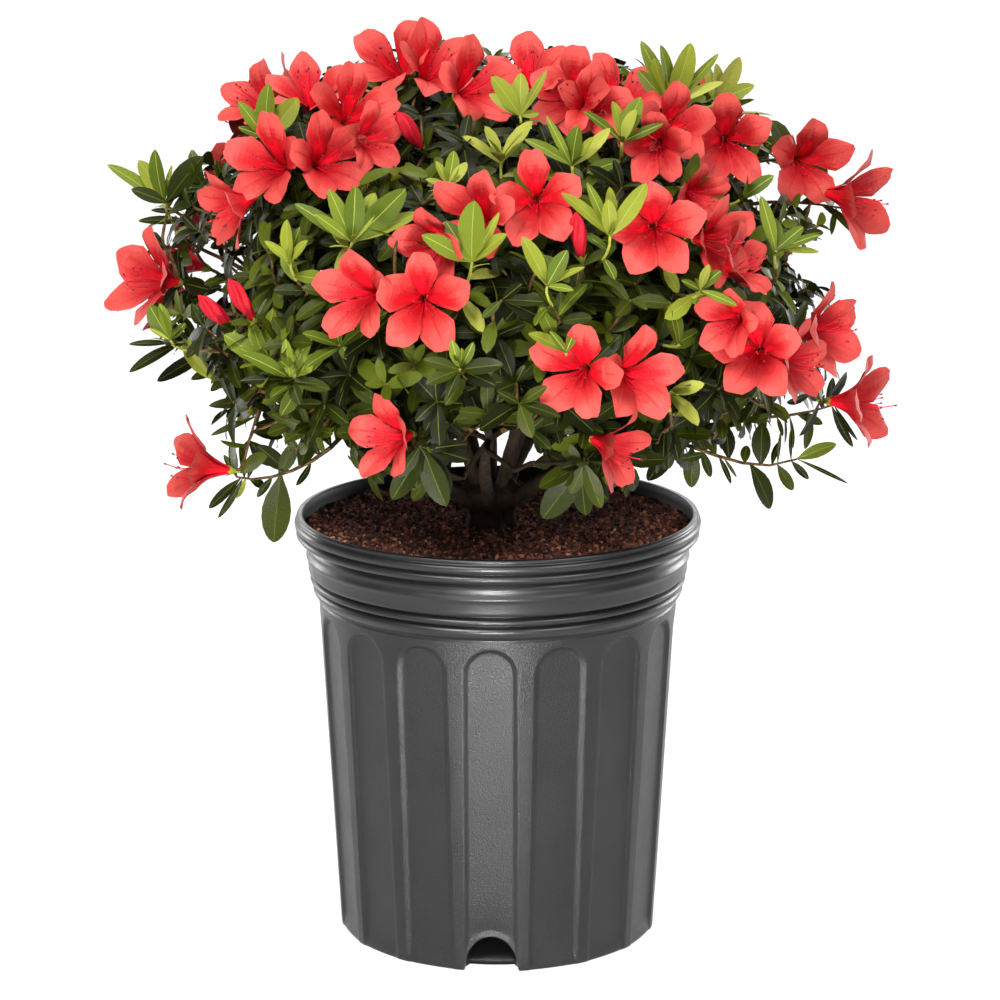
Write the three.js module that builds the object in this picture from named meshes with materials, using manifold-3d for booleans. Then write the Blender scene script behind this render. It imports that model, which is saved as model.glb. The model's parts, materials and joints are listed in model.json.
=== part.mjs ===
// An azalea shrub in flower, growing in a two-gallon nursery pot.
// Millimetres, +Z up. The origin is the centre of the pot's flat underside, and the shrub is seen from -Y.
//
// The pot is a turned shell with sixteen flutes and four drain notches, filled with potting mix.
// A short flared trunk carries twelve boughs, and each bough ends where it enters its own mass of foliage.
// A mass is one solid: twigs that branch from a single stem, each ending in leaves or in a blossom.
import * as THREE from "three";
import { mergeVertices } from "three/addons/utils/BufferGeometryUtils.js";
import Module from "manifold-3d";

const wasm = await Module();
wasm.setup();

const UP = new THREE.Vector3(0, 0, 1);
const DEG = Math.PI / 180;
const GAP = 0.3; // clearance between neighbouring solids
// A joined solid's vertices lie on a grid, and its shorter edges are closed up. In a mass or bough, and in
// the pot, these pairs of grid and shortest edge are tried in turn, until no triangle is a sliver.
const SETTLINGS = [[0.05, 0.05], [0.05, 0.08], [0.05, 0.2], [0.02, 0.1], [0.1, 0.05], [0.1, 0.1]];
const POT_SETTLINGS = [[0.001, 0.002], [0.001, 0.01]];
const SLIVER_HEIGHT = 0.008;
const SETTLING_PASSES = 3;
const LEAST_KEPT = 0.98; // of the volume

const POT_COLOR = 0x3b3c3e;
const SOIL_COLOR = 0x3a241c;
const BARK_COLOR = 0x4a3a2c;
const FOLIAGE_COLOR = 0x3f6b2a;

// Pot
const POT_TURN = -2.3; // degrees: one flute faces almost straight to the front
const POT_SIDES = 32;
const POT_FLOOR = 4;
const FLUTES = 16;
const FLUTE_WIDTH = 27.5;
const FLUTE_TOP = 191;
const FLUTE_DEPTH = 2.7;
const NOTCHES = 4;
const NOTCH_TOP = 18.5;
const NOTCH_INNER_RADIUS = 80;
const ARCH_SEGMENTS = 6; // in each half of an arch
const CUT_BELOW = 10; // how far a cut starts under the foot
const CUT_OUTWARD = 12;
// Radius and height, up the outside from the centre of the floor and over the lip
const FOOT = [92, 3];
const SHOULDER = [103.2, 199.5];
const POT_OUTSIDE = [
  [0, 0], [89.5, 0], FOOT, SHOULDER,
  [103.2, 203], [106.8, 205], [106.6, 211], // the groove and the bead over it
  [108.2, 229.8], // the collar
  [112, 231], [111.4, 234.8], // the small roll
  [116, 236.4], [115.6, 243.2], [113.6, 245], // the lip
];
// Down the inside to the floor: the wall's top is at the edge of the potting mix
const RIM_INSIDE = [110.6, 244.2];
const WALL_TOP = [108.4, 236];
const WALL_BEND = [99.2, 199.5];
const WALL_FOOT = [88, POT_FLOOR];

// Potting mix
const SOIL_LEVEL = 235.6;
const SOIL_FLAT_RADIUS = 34;
const SOIL_EDGE_LEVEL = 233.4;
const SOIL_CLEAR = 0.4; // to the pot's wall and floor

// Trunk
const TRUNK_X = -4;
const TRUNK_SIDES = 15;
// Height above the potting mix and radius, from the root flare to the top of the stump
const TRUNK_RINGS = [[0, 18.5], [3, 15.2], [8, 13.2], [13, 13.8], [18, 16], [22, 16.6], [25, 12]];
const FLARE_ROOTS = 5;
const FLARE_DEPTH = 0.17;
const TRUNK_WIDENING = 1.1; // side to side, against front to back
const TRUNK_BASE = new THREE.Vector3(TRUNK_X, 0, SOIL_LEVEL + GAP);

// Crown: half an ellipsoid above its widest level and a flatter half below
const CROWN_CENTRE = new THREE.Vector3(0, 0, 367);
const CROWN_HALF_WIDTH = 216;
const CROWN_HALF_DEPTH = 200;
const CROWN_RISE = 158;
const CROWN_DROP = 112;

// Boughs and masses in a lower ring, an upper ring and the top. Angles are in degrees: where the ring
// starts, how steeply its masses stand over the crown's centre, and how steeply its boughs leave the trunk.
// A mass's centre lies at a share of the crown's radius, and its bough ends at a share of the way there.
const RINGS = [
  { name: "lower", count: 7, start: -90, steep: -12, share: 0.7, ends: 0.56, leaves: 38 },
  { name: "upper", count: 4, start: -52, steep: 44, share: 0.64, ends: 0.6, leaves: 66 },
  { name: "top", count: 1, start: 0, steep: 90, share: 0.6, ends: 0.56, leaves: 89 },
];
// Where each ring's boughs root, out from the trunk's middle and up, and their radii at root and tip
const BOUGH_ROOTS = {
  lower: { out: 7, up: 10, thick: 4.4, thin: 2.5 },
  upper: { out: 4.6, up: 15, thick: 3.7, thin: 2.3 },
  top: { out: 0, up: 15, thick: 3.2, thin: 2.2 },
};
const BOUGH_SIDES = 6;
const BOUGH_STEPS = 5;
const BOUGH_WANDER = 0.14; // of its length, from side to side
const BOUGH_TURN_RANGE = 9; // degrees

// Twigs
const TWIG_TIP = 0.95; // radius
const TWIG_MOST = 2;
const TWIG_GAIN = 0.42; // a twig's radius grows with this power of the number of tips beyond it
const TWIG_BEND = 0.3; // of its length
const TWIG_SUNK = 1.5; // how far back a twig starts inside the one that it branches from
const BALANCE = 0.45; // weight of the way back to the stem when a tip chooses where to branch from
const BRANCH_TRIES = 6;
const STEM_BRANCHING = [0.35, 0.7, 1]; // where on a stem, or on a twig, others may branch off
const TWIG_BRANCHING = [0.5, 1];
const NEAR_MASSES = 3; // a blossom may open in one of this many
const STEM_GAP = 0.4;
const STEM_REACH = 0.5; // of the way from the bough's end to the mass's centre
const STEM_TAPER = 0.2;

// Leaves below each kind of tip, how far they open from its twig, in degrees, and their width
const CARRIED = {
  blossom: { count: 3, open: 84, width: 14 },
  shoot: { count: 5, open: 42, width: 11 },
  whorl: { count: 5, open: 68, width: 15 },
};
const LEAF_LENGTH = 36;
const LENGTH_RANGE = 0.36; // of the length, from the shortest to the longest
const LEAF_WIDEST = 0.58; // of the length
const LEAF_THICKNESS = 0.9;
const LEAN_RANGE = 16; // degrees
const TURN_RANGE = 0.2; // of the angle between two leaves
const ROSETTE_NOTCH = 2.4;

// Blossoms: five petals round a funnel
const PETALS = 5;
const BLOSSOM_RADIUS = 26;
const FACE_HEIGHT = 20; // from the calyx to the middle of the flower's face
const THROAT_HEIGHT = 10;
const CALYX_HEIGHT = 2;
const CALYX_RADIUS = 1.8;
// A petal's outline: turn from its middle in degrees, share of the radius, height over the calyx
const PETAL_EDGE = [[-19, 1, 30], [19, 1, 30], [36, 0.55, 20]];

// Where the tips that no list places are spread
const BACK_BLOSSOMS = 24;
// Degrees: round the crown from its right side, and up over its widest level
const BACK_AZIMUTHS = [8, 172];
const BACK_STEEPNESS = [-18, 66];
const BACK_TILTS = [10, 70];
const BACK_TURN_RANGE = 57;
const BLOSSOM_SHARE = 0.93; // of the crown's radius
const WHORL_TRIES = 700;
const WHORL_SHARE = 0.84;
const WHORL_DEPTH = 0.4;
const LOWEST_WHORL = -48; // degrees under the crown's widest level
const WHORL_LIFT = 0.45;
const TIP_SPACING = 32;

// Nothing hangs over the rim or into the pot
const KEEP_ABOVE_POT = 252;
const KEEP_OUTSIDE_POT = 126;

// The line of sight in which the next two lists are given: level distance, height looked at, and pitch
const SIGHT_DISTANCE = 1600;
const SIGHT_LEVEL = 250;
const SIGHT_PITCH = 13.4 * DEG;
const SIGHT_STEP = 2;
const SIGHT_RANGE = [-260, 65]; // from the sight line's centre

// Blossoms on the side that is seen: across and up from the sight line's centre, in a plane through the
// pot's axis, then where the face turns (right is positive) and tilts (up is positive), in degrees.
const BLOSSOMS = [
  [-142, 231, -55, 35], [-110, 238, -10, 60], [-85, 224, 15, 30], [-62, 253, -30, 40], [-37, 251, 30, 40],
  [-14, 239, 35, 25], [17, 247, 0, 55], [41, 233, -25, 25], [70, 233, 20, 50], [100, 217, 20, 15],
  [130, 204, 5, 5], [177, 194, 25, 15], [209, 171, 75, 0], [-138, 193, -40, 30], [-97, 197, 35, 25],
  [-159, 165, -60, -20], [-201, 130, -60, 15], [23, 173, 0, 10], [90, 154, 0, 5], [124, 150, 45, 5],
  [-13, 165, -20, 20], [-39, 146, -30, -10], [-79, 117, -30, 10], [-44, 111, 5, 5], [41, 73, -15, 5],
  [80, 67, 20, 5], [69, 29, 60, -15], [-66, 34, -50, 5], [-171, 19, -80, 0], [147, 86, 35, 10],
  [173, 81, 60, 0], [190, 95, 70, 10], [210, 56, 85, 0],
];
// Young shoots on the side that is seen, across and up in the same plane
const SHOOTS = [
  [-200, 184], [-136, 224], [-85, 165], [-16, 150], [10, 231], [43, 200], [109, 237], [136, 235], [70, 214],
  [-124, 146], [-193, 97], [-140, 83], [26, 133], [157, 151], [122, 120], [-31, 183], [178, 14], [-128, 6],
];

// A repeatable number from 0 to 1 for a pair of whole numbers
function chance(i, j) {
  const s = Math.sin(i * 12.9898 + j * 78.233 + 4.1) * 43758.5453;
  return s - Math.floor(s);
}

// The i-th place of an even, open-ended spread over three axes
function spread(i) {
  return [0.8191725134, 0.6710436067, 0.5497004779].map((a) => (0.5 + a * (i + 1)) % 1);
}

function between([low, high], share) {
  return low + (high - low) * share;
}

function heading(azimuth, elevation) {
  return new THREE.Vector3(
    Math.cos(azimuth) * Math.cos(elevation),
    Math.sin(azimuth) * Math.cos(elevation),
    Math.sin(elevation),
  );
}

// A closed three.js geometry as a solid that can be joined and cut
function solid(geometry) {
  const bare = geometry.clone();
  bare.deleteAttribute("normal");
  bare.deleteAttribute("uv");
  const merged = mergeVertices(bare, 1e-4);
  return new wasm.Manifold(
    new wasm.Mesh({
      numProp: 3,
      vertProperties: merged.getAttribute("position").array,
      triVerts: new Uint32Array(merged.index.array),
    }),
  );
}

// The largest body of a solid: loose scraps and sealed hollows are left out
function largest(made) {
  return made.decompose().sort((a, b) => b.volume() - a.volume())[0];
}

function geometryOf(made) {
  const mesh = made.getMesh();
  const geometry = new THREE.BufferGeometry();
  geometry.setAttribute("position", new THREE.BufferAttribute(new Float32Array(mesh.vertProperties), 3));
  geometry.setIndex(new THREE.BufferAttribute(new Uint32Array(mesh.triVerts), 1));
  geometry.computeVertexNormals();
  return geometry;
}

// True if two sheets of a surface touch along an edge, which then has four faces
function isPinched(geometry) {
  const { array } = geometry.getAttribute("position");
  const places = Array.from({ length: array.length / 3 }, (_, i) => array.slice(3 * i, 3 * i + 3).join(" "));
  const seen = new Set();
  const corners = geometry.index.array;
  return corners.some((corner, i) => {
    const following = corners[i % 3 === 2 ? i - 2 : i + 1];
    const edge = places[corner] + " to " + places[following];
    const again = seen.has(edge);
    seen.add(edge);
    return again;
  });
}

// The height of a geometry's thinnest triangle over its longest side
function thinnest(geometry) {
  const position = geometry.getAttribute("position");
  const corners = geometry.index.array;
  const face = new THREE.Triangle();
  let least = Infinity;
  for (let i = 0; i < corners.length; i += 3) {
    face.setFromAttributeAndIndices(position, corners[i], corners[i + 1], corners[i + 2]);
    const longest = Math.max(face.a.distanceTo(face.b), face.b.distanceTo(face.c), face.c.distanceTo(face.a));
    least = Math.min(least, (2 * face.getArea()) / longest);
  }
  return least;
}

// A joined solid as a geometry that stays one closed body, with no pinched edge and no sliver
function settled(made, settlings) {
  const whole = largest(made);
  for (const [grid, shortest] of settlings) {
    let body = whole.simplify(shortest);
    for (let pass = 0; pass < SETTLING_PASSES; pass += 1) {
      const geometry = geometryOf(body);
      const onGrid = geometry.getAttribute("position").array.map((x) => Math.round(x / grid) * grid);
      geometry.setAttribute("position", new THREE.BufferAttribute(onGrid, 3));
      body = largest(solid(geometry)).simplify(shortest);
    }
    const geometry = geometryOf(body);
    const isWhole = body.volume() > LEAST_KEPT * whole.volume();
    if (isWhole && !isPinched(geometry) && thinnest(geometry) > SLIVER_HEIGHT) return geometry;
  }
  throw new Error("a solid stays pinched, or keeps a sliver");
}

function node(name, geometry, color, roughness) {
  const material = new THREE.MeshStandardMaterial({ color, roughness, metalness: 0 });
  const mesh = new THREE.Mesh(geometry, material);
  mesh.name = name;
  return mesh;
}

// A closed surface over rings of points, each point with its angle round the axis. Neighbouring rings
// are joined in the order of their angles, the ends are capped, and a ring of one point makes a peak.
function loft(rings) {
  const index = [];
  let first = 0;
  for (let r = 0; r + 1 < rings.length; r += 1) {
    const [a, b] = [rings[r], rings[r + 1]];
    const [startA, startB] = [first, first + a.length];
    const next = (ring, k) => {
      if (ring.length === 1 || k >= ring.length) return Infinity;
      return k + 1 < ring.length ? ring[k + 1].angle : ring[0].angle + 2 * Math.PI;
    };
    let i = 0;
    let j = 0;
    while (next(a, i) < Infinity || next(b, j) < Infinity) {
      const [here, there] = [startA + (i % a.length), startB + (j % b.length)];
      if (next(a, i) <= next(b, j)) {
        i += 1;
        index.push(here, startA + (i % a.length), there);
      } else {
        j += 1;
        index.push(here, startB + (j % b.length), there);
      }
    }
    first = startB;
  }
  for (let k = 1; k + 1 < rings[0].length; k += 1) index.push(0, k + 1, k);
  for (let k = 1; k + 1 < rings.at(-1).length; k += 1) index.push(first, first + k, first + k + 1);
  const geometry = new THREE.BufferGeometry().setFromPoints(rings.flat().map(({ point }) => point));
  geometry.setIndex(index);
  geometry.computeVertexNormals();
  return geometry;
}

// An even ring of points in the plane of two directions
function evenRing(centre, normal, binormal, radius, sides) {
  return Array.from({ length: sides }, (_, k) => {
    const angle = (2 * Math.PI * k) / sides;
    const out = normal.clone().multiplyScalar(Math.cos(angle)).addScaledVector(binormal, Math.sin(angle));
    return { angle, point: centre.clone().addScaledVector(out, radius) };
  });
}

// Points as a ring in the order of their angles round an axis. A point may say which way it counts as out.
function sortedRing(centre, axis, normal, points) {
  const binormal = axis.clone().cross(normal);
  return points
    .map(({ point, out }) => {
      const way = out || point.clone().sub(centre);
      const angle = Math.atan2(way.dot(binormal), way.dot(normal));
      return { point, angle: (angle + 2 * Math.PI) % (2 * Math.PI) };
    })
    .sort((a, b) => a.angle - b.angle);
}

// Rings of a tube along a curve, with its own radius at every ring
function tubeRings(curve, steps, sides, radiusAt) {
  const { normals, binormals } = curve.computeFrenetFrames(steps, false);
  return curve
    .getSpacedPoints(steps)
    .map((centre, k) => evenRing(centre, normals[k], binormals[k], radiusAt(k / steps), sides));
}

function turned(profile, sides) {
  const points = profile.map(([r, z]) => new THREE.Vector2(r, z));
  return new THREE.LatheGeometry(points, sides).rotateX(Math.PI / 2);
}

// A door-shaped outline with a half-round top, drawn out to a depth
function archGeometry(width, top, depth) {
  const half = width / 2;
  const arch = new THREE.Shape();
  arch.moveTo(-half, -CUT_BELOW);
  arch.lineTo(half, -CUT_BELOW);
  arch.lineTo(half, top - half);
  arch.absarc(0, top - half, half, 0, Math.PI, false);
  arch.lineTo(-half, -CUT_BELOW);
  return new THREE.ExtrudeGeometry(arch, { depth, bevelEnabled: false, curveSegments: ARCH_SEGMENTS });
}

function makePot() {
  const inside = [RIM_INSIDE, WALL_TOP, WALL_BEND, WALL_FOOT, [0, POT_FLOOR]];
  const shell = solid(turned([...POT_OUTSIDE, ...inside], POT_SIDES));
  // A flute stands up the leaning wall, and is cut outwards from a floor under the wall's surface
  const lean = Math.atan2(SHOULDER[0] - FOOT[0], SHOULDER[1] - FOOT[1]);
  const footRadius = FOOT[0] - FOOT[1] * Math.tan(lean);
  const flute = archGeometry(FLUTE_WIDTH, FLUTE_TOP, CUT_OUTWARD);
  flute.rotateX(Math.PI / 2 + lean).translate(0, FLUTE_DEPTH - footRadius, 0);
  const notch = archGeometry(FLUTE_WIDTH, NOTCH_TOP, FOOT[0] + CUT_OUTWARD - NOTCH_INNER_RADIUS);
  notch.rotateX(Math.PI / 2).translate(0, -NOTCH_INNER_RADIUS, 0);
  const cuts = [];
  for (let i = 0; i < FLUTES; i += 1) {
    cuts.push(solid(flute.clone().rotateZ((i * 2 * Math.PI) / FLUTES)));
  }
  for (let i = 0; i < NOTCHES; i += 1) {
    cuts.push(solid(notch.clone().rotateZ((i * 2 * Math.PI) / NOTCHES)));
  }
  const pot = shell.subtract(wasm.Manifold.union(cuts)).rotate([0, 0, POT_TURN]);
  return node("nursery_pot", settled(pot, POT_SETTLINGS), POT_COLOR, 0.45);
}

// The mix fills the pot, clear of its floor and walls, and is flat round the trunk
function makeSoil() {
  const share = (SOIL_EDGE_LEVEL - WALL_BEND[1]) / (WALL_TOP[1] - WALL_BEND[1]);
  const edge = WALL_BEND[0] + (WALL_TOP[0] - WALL_BEND[0]) * share;
  const profile = [
    [0, POT_FLOOR + SOIL_CLEAR],
    [WALL_FOOT[0] - SOIL_CLEAR, POT_FLOOR + SOIL_CLEAR],
    [WALL_BEND[0] - SOIL_CLEAR, WALL_BEND[1]],
    [edge - SOIL_CLEAR, SOIL_EDGE_LEVEL],
    [SOIL_FLAT_RADIUS, SOIL_LEVEL],
    [0, SOIL_LEVEL],
  ];
  return node("potting_mix", turned(profile, POT_SIDES).rotateZ(POT_TURN * DEG), SOIL_COLOR, 1);
}

// The stump, with flared roots at its foot, grown by a pad all round
function trunkGeometry(pad) {
  const steps = TRUNK_RINGS.length - 1;
  const rings = TRUNK_RINGS.map(([height, radius], step) =>
    Array.from({ length: TRUNK_SIDES }, (_, k) => {
      const angle = (2 * Math.PI * k) / TRUNK_SIDES;
      const flare = FLARE_DEPTH * Math.cos(FLARE_ROOTS * angle + 1) * (1 - step / steps) ** 2;
      const reach = radius * (1 + flare) + pad;
      const up = step === steps ? height + pad : height;
      const out = new THREE.Vector3(Math.cos(angle) * reach * TRUNK_WIDENING, Math.sin(angle) * reach, up);
      return { angle, point: out.add(TRUNK_BASE) };
    }),
  );
  return loft(rings);
}

// The crown's radius in a direction from its centre
function crownReach({ x, y, z }) {
  const vertical = z > 0 ? CROWN_RISE : CROWN_DROP;
  return 1 / Math.hypot(x / CROWN_HALF_WIDTH, y / CROWN_HALF_DEPTH, z / vertical);
}

function crownPoint(direction, share) {
  return CROWN_CENTRE.clone().addScaledVector(direction, crownReach(direction) * share);
}

// The place on the crown that lies on the sight line through a point of the picture plane. A line that
// passes outside the crown gives its nearest place to it.
function seenPoint(across, up) {
  const c = Math.cos(SIGHT_PITCH);
  const s = Math.sin(SIGHT_PITCH);
  const eye = new THREE.Vector3(0, -SIGHT_DISTANCE * c, SIGHT_LEVEL + SIGHT_DISTANCE * s);
  const ray = new THREE.Vector3(across, up * s, SIGHT_LEVEL + up * c).sub(eye).normalize();
  let best = null;
  let bestShare = Infinity;
  let along = SIGHT_DISTANCE + SIGHT_RANGE[0];
  while (bestShare > BLOSSOM_SHARE && along < SIGHT_DISTANCE + SIGHT_RANGE[1]) {
    const p = eye.clone().addScaledVector(ray, along);
    const from = p.clone().sub(CROWN_CENTRE);
    const share = from.length() / crownReach(from.normalize());
    if (share < bestShare) {
      bestShare = share;
      best = p;
    }
    along += SIGHT_STEP;
  }
  return best;
}

// Boughs, each with the centre of the mass that it carries
function makeBoughs() {
  const boughs = [];
  for (const ring of RINGS) {
    const { out, up, thick, thin } = BOUGH_ROOTS[ring.name];
    for (let i = 0; i < ring.count; i += 1) {
      const turn = BOUGH_TURN_RANGE * (chance(i, ring.count) - 0.5);
      const azimuth = (ring.start + (360 * i) / ring.count + turn) * DEG;
      const centre = crownPoint(heading(azimuth, ring.steep * DEG), ring.share);
      const root = TRUNK_BASE.clone().addScaledVector(heading(azimuth, 0), out).addScaledVector(UP, up);
      const end = root.clone().lerp(centre, ring.ends);
      const length = root.distanceTo(end);
      const wander = length * BOUGH_WANDER * (chance(i, 31) - 0.5);
      const aside = heading(azimuth + Math.PI / 2, 0).multiplyScalar(wander);
      const curve = new THREE.CubicBezierCurve3(
        root,
        root.clone().addScaledVector(heading(azimuth, ring.leaves * DEG), length / 3),
        end.clone().lerp(centre, -1 / 3).add(aside),
        end,
      );
      const name = ring.count > 1 ? ring.name + "_" + (i + 1) : ring.name;
      boughs.push({ name, centre, end, curve, thick, thin, tangent: curve.getTangentAt(1) });
    }
  }
  return boughs;
}

// Each bough is cut clear of the trunk and of the boughs before it
function boughSolids(boughs) {
  const made = (bough, pad) => {
    const radiusAt = (t) => bough.thick + (bough.thin - bough.thick) * t + pad;
    return solid(loft(tubeRings(bough.curve, BOUGH_STEPS, BOUGH_SIDES, radiusAt)));
  };
  const padded = [solid(trunkGeometry(GAP))];
  return boughs.map((bough) => {
    const cut = made(bough, 0).subtract(wasm.Manifold.union(padded));
    padded.push(made(bough, GAP));
    return largest(cut);
  });
}

// Everything that a twig can end in: a blossom with a few leaves, a young shoot, or an old whorl of leaves
function makeTips() {
  const tips = [];
  const add = (kind, at, axis) => tips.push({ kind, at, axis: axis.normalize(), seed: tips.length });
  for (const [across, up, turn, tilt] of BLOSSOMS) {
    const axis = heading((turn - 90) * DEG, tilt * DEG);
    add("blossom", seenPoint(across, up).addScaledVector(axis, -FACE_HEIGHT), axis);
  }
  for (let i = 0; i < BACK_BLOSSOMS; i += 1) {
    const [u, v] = spread(i);
    const azimuth = between(BACK_AZIMUTHS, v) * DEG;
    const out = heading(azimuth, between(BACK_STEEPNESS, u) * DEG);
    const turn = BACK_TURN_RANGE * (chance(i, 3) - 0.5) * DEG;
    const axis = heading(azimuth + turn, between(BACK_TILTS, u * chance(i, 4)) * DEG);
    add("blossom", crownPoint(out, BLOSSOM_SHARE).addScaledVector(axis, -FACE_HEIGHT), axis);
  }
  for (const [across, up] of SHOOTS) {
    const at = seenPoint(across, up);
    const axis = at.clone().sub(CROWN_CENTRE).normalize().add(UP).normalize();
    add("shoot", at.addScaledVector(axis, -LEAF_LENGTH / 3), axis);
  }
  for (let i = 0; i < WHORL_TRIES; i += 1) {
    const [u, v, w] = spread(i);
    const out = heading(2 * Math.PI * v, Math.asin(1 - (1 - Math.sin(LOWEST_WHORL * DEG)) * u));
    const at = crownPoint(out, WHORL_SHARE - WHORL_DEPTH * w * w);
    const free = tips.every((tip) => tip.at.distanceTo(at) > TIP_SPACING);
    if (free) add("whorl", at, out.addScaledVector(UP, WHORL_LIFT));
  }
  return tips;
}

// The leaves round a tip: a young shoot holds them up, an old whorl spreads them
function makeLeaves(tip, normal) {
  const { count, open, width } = CARRIED[tip.kind];
  return Array.from({ length: count }, (_, k) => {
    const vary = (j) => chance(tip.seed, 10 * j + k) - 0.5;
    const around = (2 * Math.PI * (k + 0.5 + TURN_RANGE * vary(1))) / count;
    const lean = (open + LEAN_RANGE * vary(2)) * DEG;
    const out = normal.clone().applyAxisAngle(tip.axis, around);
    const along = tip.axis.clone().multiplyScalar(Math.cos(lean)).addScaledVector(out, Math.sin(lean));
    const length = LEAF_LENGTH * (1 + LENGTH_RANGE * vary(3));
    return { root: tip.at, out, along, side: tip.axis.clone().cross(out), length, width };
  });
}

// The room that a leaf takes, with a pad all round: a slim octahedron from its root to its tip
function leafRoom(leaf, pad) {
  const face = leaf.along.clone().cross(leaf.side);
  const geometry = new THREE.OctahedronGeometry(1);
  const position = geometry.getAttribute("position");
  const v = new THREE.Vector3();
  for (let i = 0; i < position.count; i += 1) {
    v.fromBufferAttribute(position, i).round();
    const reach = v.x > 0 ? leaf.length + pad : v.x * pad;
    const point = leaf.root
      .clone()
      .addScaledVector(leaf.along, v.x === 0 ? leaf.length * LEAF_WIDEST : reach)
      .addScaledVector(leaf.side, v.y * (leaf.width / 2 + pad))
      .addScaledVector(face, v.z * (LEAF_THICKNESS / 2 + pad));
    position.setXYZ(i, point.x, point.y, point.z);
  }
  return solid(geometry);
}

// The outline of a rosette: for each leaf one edge at its widest, its tip, the other edge, and a notch
function rosetteRing(tip, normal, leaves) {
  const points = leaves.flatMap((leaf, k) => {
    const after = leaves[(k + 1) % leaves.length];
    const overHalfWay = leaf.out.clone().cross(after.out).dot(tip.axis) < 0;
    const between = leaf.out.clone().add(after.out).multiplyScalar(overHalfWay ? -1 : 1).normalize();
    const widest = leaf.root.clone().addScaledVector(leaf.along, leaf.length * LEAF_WIDEST);
    return [
      { point: widest.clone().addScaledVector(leaf.side, -leaf.width / 2) },
      { point: leaf.root.clone().addScaledVector(leaf.along, leaf.length), out: leaf.out },
      { point: widest.clone().addScaledVector(leaf.side, leaf.width / 2) },
      { point: leaf.root.clone().addScaledVector(between, ROSETTE_NOTCH), out: between },
    ];
  });
  return sortedRing(tip.at, tip.axis, normal, points);
}

// The funnel of a blossom, from its calyx over the petals' edges to its throat
function blossomRings(tip, normal, pad) {
  const right = UP.clone().cross(tip.axis).normalize();
  const above = tip.axis.clone().cross(right);
  const calyx = tip.at.clone().addScaledVector(tip.axis, CALYX_HEIGHT - pad);
  const foot = evenRing(calyx, normal, tip.axis.clone().cross(normal), CALYX_RADIUS + pad, 3);
  const edge = Array.from({ length: PETALS }, (_, petal) =>
    PETAL_EDGE.map(([turn, share, height]) => {
      const angle = (90 + (360 * petal) / PETALS + turn) * DEG;
      const out = right.clone().multiplyScalar(Math.cos(angle)).addScaledVector(above, Math.sin(angle));
      const middle = tip.at.clone().addScaledVector(tip.axis, height);
      return { point: middle.addScaledVector(out, BLOSSOM_RADIUS * share + pad), out };
    }),
  );
  const throat = { angle: 0, point: tip.at.clone().addScaledVector(tip.axis, THROAT_HEIGHT + pad) };
  return [foot, sortedRing(tip.at, tip.axis, normal, edge.flat()), [throat]];
}

// What stands in the crown already, so that a new piece can be kept clear of it
class Space {
  constructor() {
    this.held = [];
  }

  add(made, mass, tip) {
    this.held.push({ made, mass, tip, box: made.boundingBox() });
  }

  // True if a piece, drawn with GAP all round, shares nothing with what the test counts as another's
  isClear(padded, isOther) {
    const { min, max } = padded.boundingBox();
    return !this.held.some(
      (piece) =>
        isOther(piece) &&
        [0, 1, 2].every((k) => piece.box.min[k] < max[k] && piece.box.max[k] > min[k]) &&
        !piece.made.intersect(padded).isEmpty(),
    );
  }
}

function clearOfPot(made) {
  const { min, max } = made.boundingBox();
  const nearX = Math.max(min[0], -max[0], 0);
  const nearY = Math.max(min[1], -max[1], 0);
  return min[2] > KEEP_ABOVE_POT || Math.hypot(nearX, nearY) > KEEP_OUTSIDE_POT;
}

function nearestMass(point, masses) {
  const far = (mass) => mass.centre.distanceTo(point);
  return masses.reduce((a, b) => (far(a) < far(b) ? a : b));
}

// A mass starts as one stem, just clear of its bough's end
function makeMasses(boughs, space) {
  return boughs.map(({ name, centre, end: boughEnd, tangent, thin }) => {
    const start = boughEnd.clone().addScaledVector(tangent, STEM_GAP);
    const end = start.clone().lerp(centre, STEM_REACH);
    const bend = start.distanceTo(end) * TWIG_BEND;
    const curve = new THREE.CubicBezierCurve3(
      start,
      start.clone().addScaledVector(tangent, bend),
      end.clone().lerp(start, TWIG_BEND),
      end,
    );
    const stem = solid(loft(tubeRings(curve, 2, 3, (t) => thin * (1 - STEM_TAPER * t))));
    const points = STEM_BRANCHING.map((t) => ({
      point: curve.getPointAt(t),
      along: curve.getTangentAt(t),
      way: t * curve.getLength(),
    }));
    const mass = { name, centre, stem, points, twigs: [] };
    space.add(stem, mass, null);
    return mass;
  });
}

// Opens a blossom in the nearest mass where it touches no other mass
function openBlossom(tip, masses, space) {
  const normal = UP.clone().cross(tip.axis).normalize();
  const funnel = (pad) => solid(loft(blossomRings(tip, normal, pad)));
  const far = (mass) => mass.centre.distanceTo(tip.at);
  const isClear = (mass) => space.isClear(funnel(GAP), (piece) => piece.mass !== mass);
  const near = [...masses].sort((a, b) => far(a) - far(b)).slice(0, NEAR_MASSES);
  const mass = clearOfPot(funnel(GAP)) ? near.find(isClear) : null;
  if (mass) space.add(funnel(0), mass, tip);
  return mass;
}

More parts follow.
